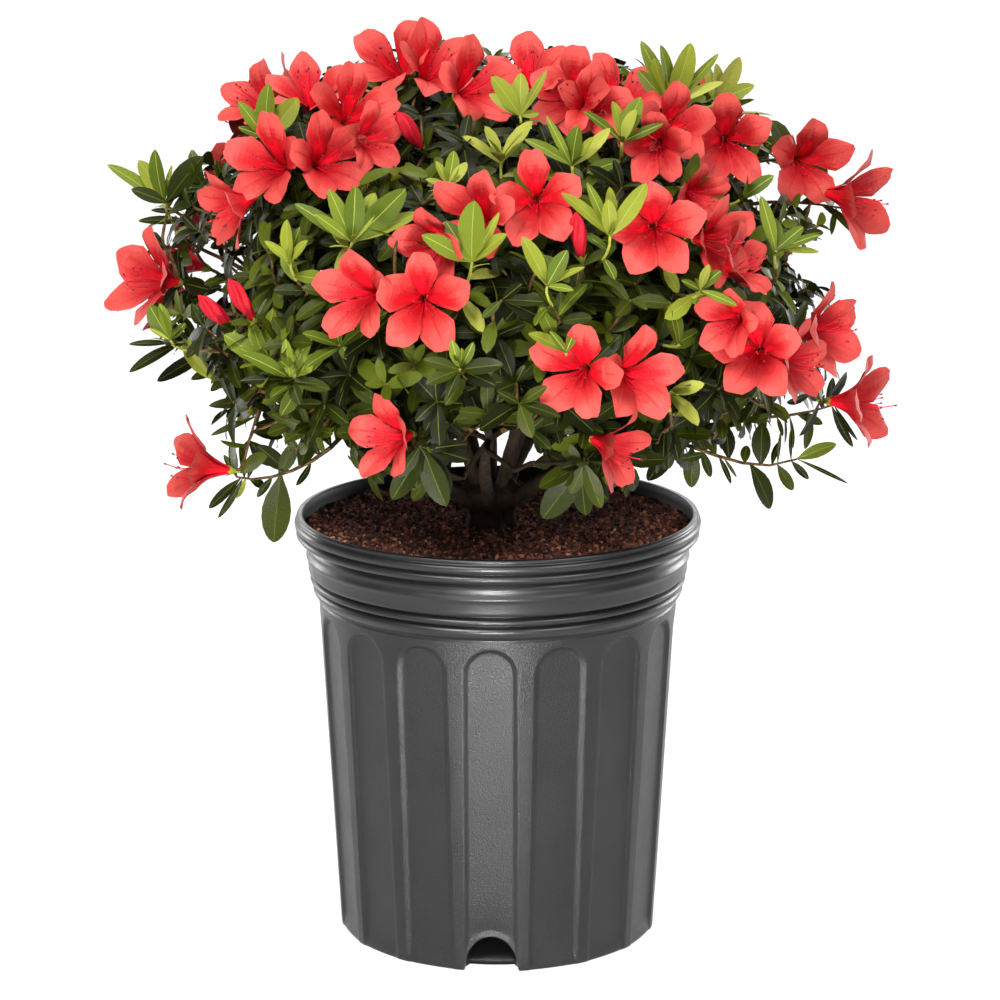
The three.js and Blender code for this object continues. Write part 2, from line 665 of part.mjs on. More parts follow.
// A tip branches from the point of its mass with the shortest way to the tip and back to the stem.
// Where that twig would touch another mass or a bough, the next best points are tried.
function growTwig(mass, tip, space) {
  const cost = (p) => p.point.distanceTo(tip.at) + BALANCE * p.way;
  const points = [...mass.points].sort((a, b) => cost(a) - cost(b)).slice(0, BRANCH_TRIES);
  for (const from of points) {
    const start = from.point.clone().addScaledVector(from.along, -TWIG_SUNK);
    const length = start.distanceTo(tip.at);
    const curve = new THREE.CubicBezierCurve3(
      start,
      start.clone().addScaledVector(from.along, length * TWIG_BEND),
      tip.at.clone().addScaledVector(tip.axis, -length * TWIG_BEND),
      tip.at,
    );
    const fat = (pad) => solid(loft(tubeRings(curve, 2, 3, () => TWIG_MOST + pad)));
    if (!clearOfPot(fat(GAP)) || !space.isClear(fat(GAP), (piece) => piece.mass !== mass)) continue;
    const normal = curve.computeFrenetFrames(2, false).normals[2];
    const twig = { tip, curve, normal, from, tips: 1 };
    for (const t of TWIG_BRANCHING) {
      const point = curve.getPointAt(t);
      mass.points.push({ point, along: curve.getTangentAt(t), way: from.way + length * t, twig });
    }
    for (let up = from.twig; up; up = up.from.twig) up.tips += 1;
    space.add(fat(0), mass, tip);
    mass.twigs.push(twig);
    return;
  }
}

// A twig and what it ends in as one solid. It is as thick as the number of tips beyond it asks for.
function twigSolid({ tip, curve, normal, tips }, leaves) {
  const thick = Math.min(TWIG_TIP * (tips + 0.6) ** TWIG_GAIN, TWIG_MOST);
  const rings = tubeRings(curve, 2, 3, (t) => thick + (TWIG_TIP - thick) * t * t);
  if (leaves.length > 1) rings.push(rosetteRing(tip, normal, leaves));
  if (tip.kind === "blossom") return solid(loft([...rings, ...blossomRings(tip, normal, 0)]));
  rings.push([{ angle: 0, point: tip.at.clone().addScaledVector(tip.axis, LEAF_THICKNESS) }]);
  return solid(loft(rings));
}

// A twig with its leaves, without those that would touch anything or leave the mass's space. One that
// would still touch another mass stays bare.
function leafyTwig(mass, twig, masses, space) {
  const { tip, normal } = twig;
  const leaves = makeLeaves(tip, normal).filter((leaf) => {
    const end = leaf.root.clone().addScaledVector(leaf.along, leaf.length);
    if (tip.kind !== "blossom" && nearestMass(end, masses) !== mass) return false;
    const padded = leafRoom(leaf, GAP);
    return clearOfPot(padded) && space.isClear(padded, (piece) => piece.tip !== tip);
  });
  let made = twigSolid(twig, leaves);
  if (!space.isClear(made, (piece) => piece.mass !== mass)) made = twigSolid(twig, []);
  space.add(made, mass, tip);
  return made;
}

function makeCrown(boughs, limbs) {
  const space = new Space();
  limbs.forEach((made) => space.add(made, null, null));
  const masses = makeMasses(boughs, space);
  const carried = makeTips()
    .map((tip) => {
      const mass = tip.kind === "blossom" ? openBlossom(tip, masses, space) : nearestMass(tip.at, masses);
      return { tip, mass, distance: mass ? tip.at.distanceTo(mass.points.at(-1).point) : 0 };
    })
    .filter(({ mass }) => mass)
    .sort((a, b) => a.distance - b.distance);
  for (const { tip, mass } of carried) growTwig(mass, tip, space);
  return masses.map((mass) => {
    const twigs = mass.twigs.map((twig) => leafyTwig(mass, twig, masses, space));
    return { name: mass.name, made: wasm.Manifold.union([mass.stem, ...twigs]) };
  });
}

const azalea = new THREE.Group();
azalea.add(makePot());
azalea.add(makeSoil());
azalea.add(node("trunk", trunkGeometry(0), BARK_COLOR, 0.9));
const boughs = makeBoughs();
const limbs = boughSolids(boughs);
boughs.forEach(({ name }, i) => {
  azalea.add(node("bough_" + name, settled(limbs[i], SETTLINGS), BARK_COLOR, 0.9));
});
for (const { name, made } of makeCrown(boughs, [solid(trunkGeometry(0)), ...limbs])) {
  azalea.add(node("foliage_" + name, settled(made, SETTLINGS), FOLIAGE_COLOR, 0.6));
}

export default azalea;
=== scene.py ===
"""An azalea shrub in flower, growing in a two-gallon nursery pot.

Sizes are millimetres and angles are degrees until a mesh, lamp or camera is made. +Z is up, the pot stands
on zero, and the camera looks along +Y. The crown grows by the same rule as its solids, carried to finer
twigs.
"""

import json
import math

import bpy
import numpy as np
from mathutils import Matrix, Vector, noise

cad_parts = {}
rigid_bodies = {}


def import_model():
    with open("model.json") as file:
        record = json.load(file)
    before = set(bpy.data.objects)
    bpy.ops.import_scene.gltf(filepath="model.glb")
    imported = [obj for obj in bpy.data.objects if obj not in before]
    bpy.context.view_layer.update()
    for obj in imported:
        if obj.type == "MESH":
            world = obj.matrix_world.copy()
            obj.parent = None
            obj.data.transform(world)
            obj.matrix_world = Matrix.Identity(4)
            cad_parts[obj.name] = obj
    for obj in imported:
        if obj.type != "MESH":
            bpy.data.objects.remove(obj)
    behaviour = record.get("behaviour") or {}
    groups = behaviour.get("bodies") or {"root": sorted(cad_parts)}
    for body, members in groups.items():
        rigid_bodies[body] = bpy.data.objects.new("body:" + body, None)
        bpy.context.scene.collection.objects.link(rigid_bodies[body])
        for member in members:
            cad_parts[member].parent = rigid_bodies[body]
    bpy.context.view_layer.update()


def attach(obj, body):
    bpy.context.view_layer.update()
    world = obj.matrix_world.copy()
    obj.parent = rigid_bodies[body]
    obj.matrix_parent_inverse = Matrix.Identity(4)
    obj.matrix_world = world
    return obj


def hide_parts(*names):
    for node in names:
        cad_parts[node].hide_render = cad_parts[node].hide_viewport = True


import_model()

MM = 0.001
UP = np.array([0.0, 0.0, 1.0])
BESIDE_UP = np.array([0.13, 0.07, 1.0])  # for cross products with axes that may point straight up

# Camera: it looks down at a point of the pot's axis
CAMERA_DISTANCE = 2000
CAMERA_PITCH = 13.62
CAMERA_AIM = np.array([1.24, 0.0, 250.9])
PICTURE = 1000  # pixels
FOCAL_PIXELS = 3504.6
SENSOR_WIDTH = 36
CLIP_END = 100  # metres
SIGHT_STEPS = np.arange(-260, 65, 2)  # along a sight line, counted from the camera's aim

# Crown: half an ellipsoid over its widest level, and a flatter half below
CROWN_CENTRE = np.array([0.0, 0.0, 367.0])
CROWN_HALF_WIDTH = 216
CROWN_HALF_DEPTH = 200
CROWN_RISE = 158
CROWN_DROP = 112

# Boughs and masses in a lower ring, an upper ring and the top, as in the solids. A mass lies at an
# azimuth, a steepness and a share of the crown's reach. Its bough leaves the trunk at an elevation from
# a place out of and up from the trunk's base, ends at a share of the way, and grows thinner.
TIERS = [
    {"name": "lower", "count": 7, "start": -90, "steep": -12, "share": 0.7, "ends": 0.56, "leaves": 38,
     "out": 7, "up": 10, "thick": 4.4, "thin": 2.5},
    {"name": "upper", "count": 4, "start": -52, "steep": 44, "share": 0.64, "ends": 0.6, "leaves": 66,
     "out": 4.6, "up": 15, "thick": 3.7, "thin": 2.3},
    {"name": "top", "count": 1, "start": 0, "steep": 90, "share": 0.6, "ends": 0.56, "leaves": 89,
     "out": 0, "up": 15, "thick": 3.2, "thin": 2.2},
]
BOUGH_WANDER = 0.14
BOUGH_TURN_RANGE = 9
BOUGH_SUNK = 4
BOUGH_SIDES = 14
BOUGH_RINGS = 25

TRUNK_BASE = np.array([-4.0, 0.0, 235.9])
# Height and radius
TRUNK_RINGS = [(-6, 14.5), (0, 13.4), (3, 11.9), (8, 11.8), (13, 13.4), (18, 16.4), (22, 17.4), (26, 12)]
TRUNK_SIDES = 40
FLARE_ROOTS = 5
FLARE_DEPTH = 0.17
TRUNK_WIDENING = 1.1
BARK_VOXEL = 0.85
BARK_SQUEEZE = np.array([1, 1, 0.3])  # stretches the relief along the limbs
# Shift of the noise, its widest lumps, octaves and depth
BARK_RELIEF = [(0, 3.2, 4, 0.55), (57, 9, 2, 0.8)]
BARK_RELIEF_SHARES = (0.35, 1.3)  # the least, up in the crown, and the most, at the trunk's foot
BARK_RELIEF_FADE = 60

# Twigs
TWIG_TIP = 0.8  # radius
TWIG_MOST = 2.2
TWIG_GAIN = 0.42  # power of the number of tips
TWIG_TIPS_ADDED = 0.6
TWIG_TAPER = 1.5
TWIG_BEND = 0.3
TWIG_SUNK = 1.5
BALANCE = 0.45
STEM_BRANCHING = [0.35, 0.7, 1]
TWIG_BRANCHING = [0.5, 1]
STEM_STEP = 0.02  # share of a stem over which its direction is taken
TWIG_STEP = 0.03
STEM_REACH = 0.5
STEM_TAPER = 0.8
TWIG_RINGS = 7
TWIG_SIDES = 5
SPRIG_RADII = (1.5, 0.6)
# Painted shade: twigs low in the crown round the trunk get a dark brown.
SHADED_TWIG_TOP = 310  # below this and in front of the trunk or behind it the twigs are dark
SHADED_TWIG_HALF = 85
YOUNG_STEM = 0.4  # share of a shoot's twig after which it is still green

# Tips that no list places
BACK_BLOSSOMS = 34
BACK_AZIMUTHS = (8, 172)
BACK_STEEPNESS = (-18, 46)
BACK_TILTS = (5, 50)
BACK_TURN_RANGE = 57
BLOSSOM_SHARE = 0.93
SHOOT_SET_BACK = 12
POSED_LIFT = 0.3
WHORL_TRIES = 9000
WHORL_SHARE = 0.89
WHORL_DEPTH = 0.55
WHORL_DEPTH_POWER = 1.4
LOWEST_WHORL = -48
WHORL_LIFT = 0.45
TIP_SPACING = 18.5
FACE_SPACING = 17
YOUNG_SHARE = 0.06  # of the outer whorls
YOUNG_LOWEST = -0.2
KEEP_ABOVE_POT = 251
KEEP_OUTSIDE_POT = 124
TRUNK_WINDOW = (452, 536, 428, 540)  # left, right, top and bottom pixel: no leaf hides the trunk there
LOW_THINNING = 0.4  # share of the lowest whorls that don't grow
LOW_THINNING_RISE = 2.2  # how soon it is reached under the crown's widest level
# Sky that shows past and through the crown: middle, half width and half height of an ellipse, in pixels
SKY = [
    (150, 105, 78, 40), (212, 132, 24, 18), (344, 54, 16, 14), (320, 42, 26, 20), (505, 18, 72, 30),
    (602, 26, 56, 36), (745, 20, 60, 24), (802, 82, 48, 32), (885, 138, 32, 18), (842, 264, 48, 26),
    (790, 472, 95, 34), (688, 488, 40, 20), (775, 438, 14, 9), (815, 437, 12, 9), (318, 474, 40, 20),
    (338, 446, 12, 12), (176, 402, 52, 22), (150, 374, 50, 22), (118, 232, 22, 16), (213, 262, 8, 18),
    (214, 300, 10, 9), (242, 262, 6, 8), (242, 300, 7, 8), (383, 156, 6, 11), (640, 171, 6, 6),
    (722, 192, 14, 6), (758, 170, 9, 9), (768, 200, 10, 12), (784, 190, 8, 8), (812, 208, 12, 6),
    (190, 328, 8, 8), (268, 421, 10, 7), (640, 470, 14, 8), (362, 400, 7, 5),
]
# Sprigs that reach out of the crown: how far back they are, the pixels that they pass, and their leaves
# as the pixels of root and tip and the width against the length
SPRIGS = [
    (-40, [(345, 433), (312, 461), (272, 477), (236, 477)], [
        (281, 474, 272, 546, 0.4), (241, 478, 205, 510, 0.2), (242, 478, 220, 521, 0.16),
        (246, 477, 234, 500, 0.32), (273, 478, 257, 497, 0.3), (312, 461, 298, 489, 0.24),
        (236, 475, 231, 443, 0.25), (238, 476, 224, 454, 0.26), (245, 476, 243, 445, 0.26),
        (248, 476, 255, 456, 0.22), (250, 477, 266, 486, 0.5), (278, 476, 296, 443, 0.4),
        (300, 468, 314, 430, 0.46), (309, 462, 305, 436, 0.4), (290, 472, 257, 445, 0.4),
        (320, 454, 300, 434, 0.38), (330, 446, 318, 418, 0.4), (336, 442, 342, 414, 0.4)]),
    (-20, [(300, 376), (272, 386), (258, 412), (247, 446)], [
        (266, 392, 223, 417, 0.28), (262, 400, 209, 403, 0.22), (260, 404, 236, 420, 0.32),
        (256, 416, 210, 434, 0.14), (251, 432, 284, 436, 0.34), (254, 424, 285, 424, 0.4),
        (262, 402, 288, 420, 0.46), (250, 438, 240, 456, 0.26), (250, 440, 272, 466, 0.44),
        (285, 380, 298, 404, 0.6), (296, 378, 318, 428, 0.44), (276, 384, 252, 366, 0.34)]),
    (-40, [(650, 440), (693, 447), (743, 463), (797, 459)], [
        (760, 462, 761, 424, 0.46), (744, 462, 746, 444, 0.5), (749, 463, 776, 509, 0.38),
        (777, 461, 794, 492, 0.34), (792, 460, 809, 479, 0.3), (796, 459, 835, 443, 0.32),
        (797, 460, 851, 483, 0.07), (719, 457, 733, 483, 0.2), (724, 458, 737, 477, 0.14),
        (691, 446, 692, 489, 0.4), (773, 461, 777, 441, 0.3), (776, 460, 780, 432, 0.1),
        (790, 460, 789, 430, 0.12), (716, 456, 704, 428, 0.42), (728, 458, 727, 426, 0.46),
        (672, 442, 650, 484, 0.42), (704, 451, 690, 424, 0.42), (700, 450, 712, 478, 0.3),
        (670, 441, 668, 470, 0.4)]),
    (20, [(690, 416), (740, 418), (790, 415), (836, 404)], [
        (726, 418, 745, 386, 0.4), (832, 406, 851, 451, 0.18), (834, 405, 857, 444, 0.1),
        (808, 412, 809, 450, 0.36), (796, 414, 824, 423, 0.34), (784, 416, 789, 445, 0.14),
        (790, 415, 798, 451, 0.12), (776, 417, 784, 436, 0.26), (726, 418, 724, 450, 0.44),
        (708, 418, 703, 452, 0.46), (745, 418, 755, 396, 0.34), (822, 408, 811, 376, 0.26),
        (826, 407, 834, 378, 0.28), (828, 407, 839, 394, 0.32), (738, 418, 744, 440, 0.2),
        (766, 417, 757, 440, 0.34), (752, 418, 770, 398, 0.36), (700, 417, 692, 392, 0.4)]),
    (10, [(252, 374), (228, 354), (200, 344), (172, 343)], [
        (182, 344, 126, 368, 0.2), (215, 350, 152, 381, 0.2), (172, 343, 128, 342, 0.16),
        (236, 360, 190, 378, 0.24), (250, 374, 218, 410, 0.26), (226, 356, 180, 330, 0.3),
        (196, 344, 182, 314, 0.36), (176, 343, 148, 303, 0.4), (188, 344, 162, 318, 0.36),
        (240, 362, 210, 392, 0.26)]),
    (0, [(212, 236), (192, 222), (176, 212), (164, 203)], [
        (192, 222, 136, 217, 0.17), (172, 209, 200, 186, 0.34), (186, 218, 208, 196, 0.34),
        (178, 213, 150, 208, 0.2)]),
    (20, [(716, 214), (750, 204), (792, 202), (842, 208)], [
        (800, 202, 842, 190, 0.3), (820, 206, 852, 222, 0.2), (748, 204, 768, 234, 0.34),
        (736, 206, 752, 176, 0.34), (722, 210, 730, 180, 0.36), (836, 207, 830, 234, 0.24),
        (810, 204, 800, 224, 0.3), (826, 207, 862, 236, 0.16)]),
]
# Shoots whose leaves show one by one: pixel of their foot, whether they are young, and each leaf's tip
# and width
POSED = [
    (670, 106, True, [(644, 41, 0.22), (669, 46, 0.3), (694, 46, 0.36), (651, 60, 0.36), (720, 54, 0.14),
     (722, 76, 0.2), (637, 70, 0.3)]),
    (715, 102, True, [(742, 60, 0.4), (722, 66, 0.42), (752, 84, 0.36), (706, 66, 0.3)]),
    (520, 116, True, [(520, 72, 0.4), (496, 76, 0.4), (491, 92, 0.4), (547, 72, 0.16), (540, 112, 0.4)]),
    (572, 166, True, [(575, 126, 0.5), (548, 118, 0.16), (528, 134, 0.28), (612, 128, 0.24),
     (590, 136, 0.3)]),
    (622, 142, True, [(618, 100, 0.38), (638, 97, 0.4), (632, 110, 0.44), (588, 108, 0.24),
     (662, 122, 0.22)]),
    (164, 203, True, [(111, 160, 0.24), (150, 152, 0.34), (141, 158, 0.4), (170, 165, 0.15)]),
    (266, 138, True, [(264, 84, 0.4), (240, 102, 0.3), (240, 126, 0.3), (298, 98, 0.44)]),
    (352, 242, True, [(296, 200, 0.22), (330, 190, 0.28), (357, 188, 0.38), (374, 192, 0.36),
     (407, 190, 0.34), (420, 208, 0.2), (318, 214, 0.26)]),
    (472, 262, True, [(470, 204, 0.46), (445, 220, 0.34), (425, 235, 0.32), (488, 228, 0.5),
     (503, 232, 0.4), (500, 214, 0.16)]),
    (610, 236, True, [(590, 182, 0.2), (567, 188, 0.24), (613, 188, 0.3), (609, 202, 0.4),
     (647, 186, 0.3)]),
    (547, 286, True, [(526, 236, 0.34), (541, 252, 0.44), (566, 250, 0.4), (582, 262, 0.22),
     (572, 288, 0.3)]),
    (776, 250, True, [(762, 196, 0.24), (776, 216, 0.46), (803, 225, 0.36), (820, 232, 0.2),
     (822, 248, 0.16)]),
    (167, 203, False, [(197, 155, 0.44), (133, 188, 0.36)]),
    (420, 447, False, [(423, 486, 0.4), (452, 500, 0.38), (470, 458, 0.34), (400, 478, 0.36)]),
    (424, 450, False, [(390, 501, 0.36), (444, 508, 0.42), (466, 442, 0.3), (440, 420, 0.4)]),
    (584, 463, False, [(562, 467, 0.4), (602, 510, 0.34), (571, 496, 0.4), (598, 448, 0.3)]),
    (582, 466, False, [(541, 522, 0.4), (582, 520, 0.4), (536, 484, 0.4), (610, 500, 0.36),
     (560, 442, 0.4)]),
    (460, 368, True, [(452, 344, 0.34), (474, 346, 0.34), (464, 350, 0.3), (478, 362, 0.3)]),
    (460, 370, False, [(426, 380, 0.4), (500, 362, 0.4), (496, 384, 0.42), (424, 358, 0.36),
     (446, 396, 0.4)]),
    (520, 404, False, [(476, 428, 0.38), (530, 438, 0.46), (560, 412, 0.32), (500, 392, 0.34),
     (545, 386, 0.36)]),
    (502, 300, False, [(548, 318, 0.36), (520, 284, 0.36), (545, 300, 0.3), (482, 318, 0.34)]),
    (566, 352, True, [(530, 328, 0.36), (578, 324, 0.34), (552, 332, 0.3)]),
    (404, 232, False, [(378, 262, 0.34), (420, 262, 0.34), (440, 244, 0.3)]),
    (700, 290, True, [(720, 268, 0.44), (708, 264, 0.36), (684, 280, 0.3), (738, 304, 0.24)]),
    (290, 262, True, [(282, 222, 0.34), (296, 226, 0.34), (304, 240, 0.36), (268, 240, 0.3)]),
    (170, 340, True, [(147, 305, 0.46), (186, 322, 0.34), (162, 302, 0.3), (150, 328, 0.2)]),
    (290, 378, True, [(246, 350, 0.32), (285, 342, 0.3), (311, 334, 0.26), (325, 352, 0.36)]),
    (292, 380, False, [(298, 404, 0.5), (262, 396, 0.4), (330, 388, 0.36), (240, 376, 0.2)]),
    (448, 186, True, [(456, 150, 0.4), (438, 160, 0.34), (468, 162, 0.36), (426, 178, 0.28)]),
]

# Blossoms on the side that is seen: pixel of the face's middle, turn (right positive), tilt (up positive)
# and size
BLOSSOMS = [
    (252, 96, -55, 35, 0.95), (308, 87, -10, 60, 0.95), (351, 108, 15, 30, 1), (390, 60, -30, 40, 1),
    (435, 62, 30, 40, 1), (476, 83, 35, 25, 1), (530, 70, 0, 55, 0.95), (568, 94, -25, 25, 1),
    (622, 90, 20, 50, 1), (675, 124, 20, 15, 0.9), (730, 141, 5, 5, 1), (809, 161, 15, 5, 1),
    (861, 199, 58, -5, 1.1), (267, 161, -30, 20, 1), (328, 158, 25, 20, 1), (226, 210, -60, -20, 0.95),
    (145, 276, -50, 15, 1.1), (538, 199, 0, 10, 1), (656, 230, 0, 5, 1.05), (722, 240, 45, 5, 0.95),
    (476, 214, -20, 20, 0.95), (431, 249, -30, -10, 0.9), (357, 296, -30, 5, 1), (423, 303, 0, 5, 1.05),
    (577, 372, -15, 5, 1), (638, 376, 25, 5, 1), (620, 450, 60, -15, 0.9), (385, 438, -45, 5, 0.95),
    (191, 465, -72, 12, 1.08), (756, 350, -10, 10, 1.05), (800, 362, 55, 0, 0.95),
    (830, 330, 55, 10, 1.05), (868, 403, 68, 2, 1.08), (746, 264, 60, 25, 0.85), (728, 322, -30, 0, 0.8),
    (374, 138, 40, 10, 0.8), (655, 146, -10, 0, 0.8), (592, 104, 10, 20, 0.85), (700, 196, 30, -5, 0.75),
]
# Buds: pixel of the tip, turn and tilt
BUDS = [
    (206, 303, -82, 47), (234, 288, -70, 60), (402, 120, -50, 50), (577, 222, -20, 70),
    (572, 196, 10, 60),
]
# Young shoots: pixels
SHOOTS = [
    (255, 350), (813, 300), (501, 140), (288, 364), (654, 440), (733, 92), (330, 330), (690, 330),
]

# Leaves by kind of tip: how many, the inner and outer leaf's angle to the twig and length, and the
# width against the length
CARRIED = {
    "blossom": {"count": 5, "open": (60, 100), "length": (20, 26), "width": 0.4, "bend": 25},
    "bud": {"count": 4, "open": (45, 80), "length": (16, 22), "width": 0.4, "bend": 15},
    "shoot": {"count": 7, "open": (14, 58), "length": (19, 30), "width": 0.36, "bend": 20},
    "whorl": {"count": 6, "open": (34, 84), "length": (13, 24), "width": 0.38, "bend": 30},
    "posed": {"count": 2, "open": (50, 70), "length": (9, 14), "width": 0.36, "bend": 20},
}
WHORL_LENGTH = 3.2
LEAN_RANGE = 14
TURN_RANGE = 20
# Painted shade: leaves deep in the crown are dealt darker blades.
SHADE_FLOOR = 0.4  # share of a leaf's lightness that is left deep in the crown
SHADE_DEPTHS = (0.45, 0.85)  # between these shares of the crown's reach the leaves grow lighter
TWIG_LEAVES = 3
TWIG_LEAF_FIRST = 3
TWIG_LEAF_STEP = 7
TWIG_LEAF_SPAN = 0.8  # share of the twig that has leaves
TWIG_LEAF_OPEN = (62, 88)
TWIG_LEAF_LENGTH = (15, 24)
TWIG_LEAF_WIDTH = 0.4
TWIG_LEAF_BEND = 22
# A whorl or shoot is left out if fewer leaves of it are clear, or if its twig lies over the sky at two of
# these shares of its length
FEWEST_LEAVES = 4
SKY_CHECKS = [0.25, 0.4, 0.55, 0.7, 0.85, 1]
LEAF_LENGTH_SHARES = (0.86, 1.14)
LEAF_BEND_SHARES = (0.5, 1.5)
# How far in front of its foot or behind it a placed leaf's tip can lie
SPRIG_LEAF_DEPTHS = (-6, 6)
POSED_LEAF_DEPTHS = (-9.6, 6.4)
PLACED_YOUNG_WIDTH = 0.32  # a sprig's leaf of this width is young
PLACED_FACING_UP = 0.6
PLACED_BENDS = (14, 24)
# Painted light: placed leaves get lighter blades the higher they are.
PLACED_LIGHT_LEVELS = (440, 500)  # placed leaves grow lighter between these
PLACED_LIGHT_SHARE = 0.25
PLACED_LENGTH_SHARE = 1.01  # makes up for the bend
SPRIG_STEPS = 60
LEAF_CHECKS = (0.45, 0.75, 1.0)  # shares of a leaf's length at which it must be clear
CROWN_LIMIT = 1.03
# A blossom's clearance: heights over its calyx, and a cone's first radius and widening or a shaft's radius
CLEAR_CONE = (3, 32, 4, 0.85)
CLEAR_SHAFT = (32, 60, 16)
LEAF_FOLD = 11
LEAF_UPWARD = 0.3  # weight of straight up against the twig's way, in which face is the upper one
RIB_HALF = 0.22
RIB_MOST = 0.9  # of a leaf's half width
RIB_TAPER = 0.5  # the rib narrows where the leaf is under this share of its greatest width
GOLDEN_TURN = 137.5
# Blades from dark to light, and their midribs. The darker blades stand partly for shade: painted shade deep
# in the crown, and low down for the placed leaves.
MATURE = {"blades": [(15, 18, 1), (27, 33, 2), (42, 48, 4), (61, 69, 9)], "rib": (64, 72, 14),
          "roughness": 0.42}
YOUNG = {"blades": [(64, 77, 16), (82, 93, 21), (104, 110, 31), (128, 130, 52)], "rib": (122, 126, 52),
         "roughness": 0.5}
# Share of a leaf's length, and its width there against the widest
LEAF_OUTLINE = [(0, 0.1), (0.19, 0.6), (0.45, 0.98), (0.72, 0.93), (0.91, 0.52)]
PLACED_OUTLINE = [(0, 0.1), (0.08, 0.28), (0.18, 0.55), (0.32, 0.85), (0.47, 1), (0.62, 0.98), (0.76, 0.83),
                  (0.87, 0.6), (0.95, 0.33)]

# Blossom: the petal's middle line from calyx to tip as a curve of radius and height
PETALS = 5
PETAL_LINE = [(1.6, 1), (4.6, 13.5), (12.5, 25), (25.3, 30)]
PETAL_REACH = 25
# Shares of the line where petals part, where their edges are free, and where they have their full width
PETAL_PARTS = 0.36
PETAL_FREE = 0.66
PETAL_WIDE = 0.76
PETAL_ROWS = 14
# Places across a petal, with a narrow crease in the middle
PETAL_ACROSS = [-1, -0.95, -0.85, -0.7, -0.5, -0.27, -0.05, 0.05, 0.27, 0.5, 0.7, 0.85, 0.95, 1]
PETAL_HALF = 11.8
PETAL_TURNS = [90, 164, 236, -56, 16]
PETAL_TURN_RANGE = 14
# How far petals differ in the bluntness of their tips, and in how wide, open and high they are
PETAL_BLUNTNESS = (2.0, 2.7)
PETAL_WIDTHS = (0.86, 1.06)
PETAL_OPENNESS = (0.92, 1.06)
PETAL_HEIGHTS = (1.04, 0.94)
# Waves of the outline, of the ruffled edges and of the tip: height, and radians over half the width
PETAL_EDGE_WAVE = (0.035, 7)
PETAL_RUFFLE = (1.3, 3)
PETAL_TIP_WAVE = (1.1, 4.5)
PETAL_EDGE_SHIFT = 6  # range of the outline's phase
PETAL_RUFFLE_ALONG = 15  # radians over the petal's length
PETAL_RUFFLE_POWER = 2.5
PETAL_TIP_WAVE_FROM = 0.6
PETAL_ARCH = 0.012
PETAL_SKEW = 1.2
PETAL_SIDES_BACK = 2.2
PETAL_CREASE = 1.0
PETAL_CREASE_HALF = 0.13
PETAL_TIP_BACK = 5
PETAL_TIP_BACK_FROM = 0.7
PETAL_TIP_FORWARD = 0.25  # share of the tips that bend forward instead
# From the throat to the edge. The first shades, in the throat, are a brighter red than those after them:
# painted light against the shade in the tube.
PETAL_SHADES = [(204, 9, 30), (180, 6, 22), (160, 6, 18), (152, 9, 19), (152, 14, 22), (155, 22, 27),
                (156, 28, 30), (159, 36, 36), (162, 44, 42), (165, 52, 47), (169, 59, 53)]
SHADE_LEVELS = np.linspace(0.12, 0.77, len(PETAL_SHADES) - 1)
STREAK = 0.05
STREAK_TURNS = 23  # radians over half the width
STREAK_SHIFT = 5  # range of their phase
TOP_FLUSH = 0.4
SIDE_FLUSH = 0.3
FLUSH_FADE = (0.5, 0.8)
FLUSH_STREAKS = 1.6  # how much the streaks reach out of the flush
# The faces along each petal's middle, over its crease, are set this much darker, in a band of this half
# width
MIDLINE_DEEPENING = 0.1
MIDLINE_HALF = 0.1
SHADE_JITTER = 0.06
FLUSHED_SIDES = {1: -1, 4: 1}  # of the petals next to the top one
BLOSSOM_FACE = 23  # from the calyx to the middle of the flower's face
ROLL_RANGE = 24
STAMENS = 6
STAMEN_SPREADS = (4.5, 7.5)  # of the ends from the flower's axis
STAMEN_HEIGHTS = (27, 33)
STAMEN_RADIUS = 0.22
STYLE_SPREAD = 2
STYLE_HEIGHT = 37
STYLE_RADIUS = 0.3
THREAD_RINGS = 6
THREAD_SIDES = 4
THREAD_FOOT = (0.7, 2.0)  # out from the axis, and over the calyx
THREAD_SAG = 1.5
# From its foot to the next control of its curve, and from its end to the one before
THREAD_HANDLES = [(0, -0.6, 9), (0, -3.2, -9)]
ANTHER_HALVES = (0.6, 1.0)  # across and along

# Bud
BUD_ROWS = 15
BUD_COLUMNS = 30
BUD_TWIST = 1.4  # radians
BUD_LENGTH = 27
BUD_FOOT = 2
BUD_THIN = 1.3  # radius
BUD_SWELL = 2.7
BUD_PLEATS = 0.2
BUD_HIGH = 1.25  # moves the widest place up
BUD_FULLNESS = 0.85
BUD_POINT = 0.75  # how much thinner it ends
BUD_POINT_FROM = 0.86
# Calyx: height and radius, from the flower's stalk to the edge with its points
CALYX_ROWS = [(-4.5, 0.75), (-1.0, 0.85), (0.2, 1.7), (2.4, 2.6), (5.0, 2.9)]
CALYX_COLUMNS = 10
CALYX_FLARES = (1.25, 0.75)  # of the edge, at its points and between them
CALYX_DIP = 2.4

# Pot: flutes and notches as in the solid
POT_TURN = -2.3
FLUTES = 16
FLUTE_HALF = 14.9
FLUTE_TOP = 191
FLUTE_DEPTH = 2.7
FLUTE_BEVEL = 1.9
FLUTE_FOOT_SHARE = 0.35  # of the flutes' depth is left at the pot's foot
FLUTE_FOOT_RISE = 12
NOTCHES = 4
NOTCH_TOP = 20.5
NOTCH_HALF = 14.9
NOTCH_ZONE = 30  # height over which the notch bends the rings of the mesh
FLUTE_COLUMNS = 26
RIB_COLUMNS = 7
# Heights of the mesh's rings, close together at the notches and at the flutes' round tops
OUTER_HEIGHTS = [*np.linspace(3.2, NOTCH_ZONE, 9), *np.linspace(NOTCH_ZONE, 168, 13)[1:],
                 *np.arange(169.2, 194.5, 1.2)]
INNER_HEIGHTS = [160, 120, 80, 50, *np.linspace(NOTCH_ZONE, 0, 8)]
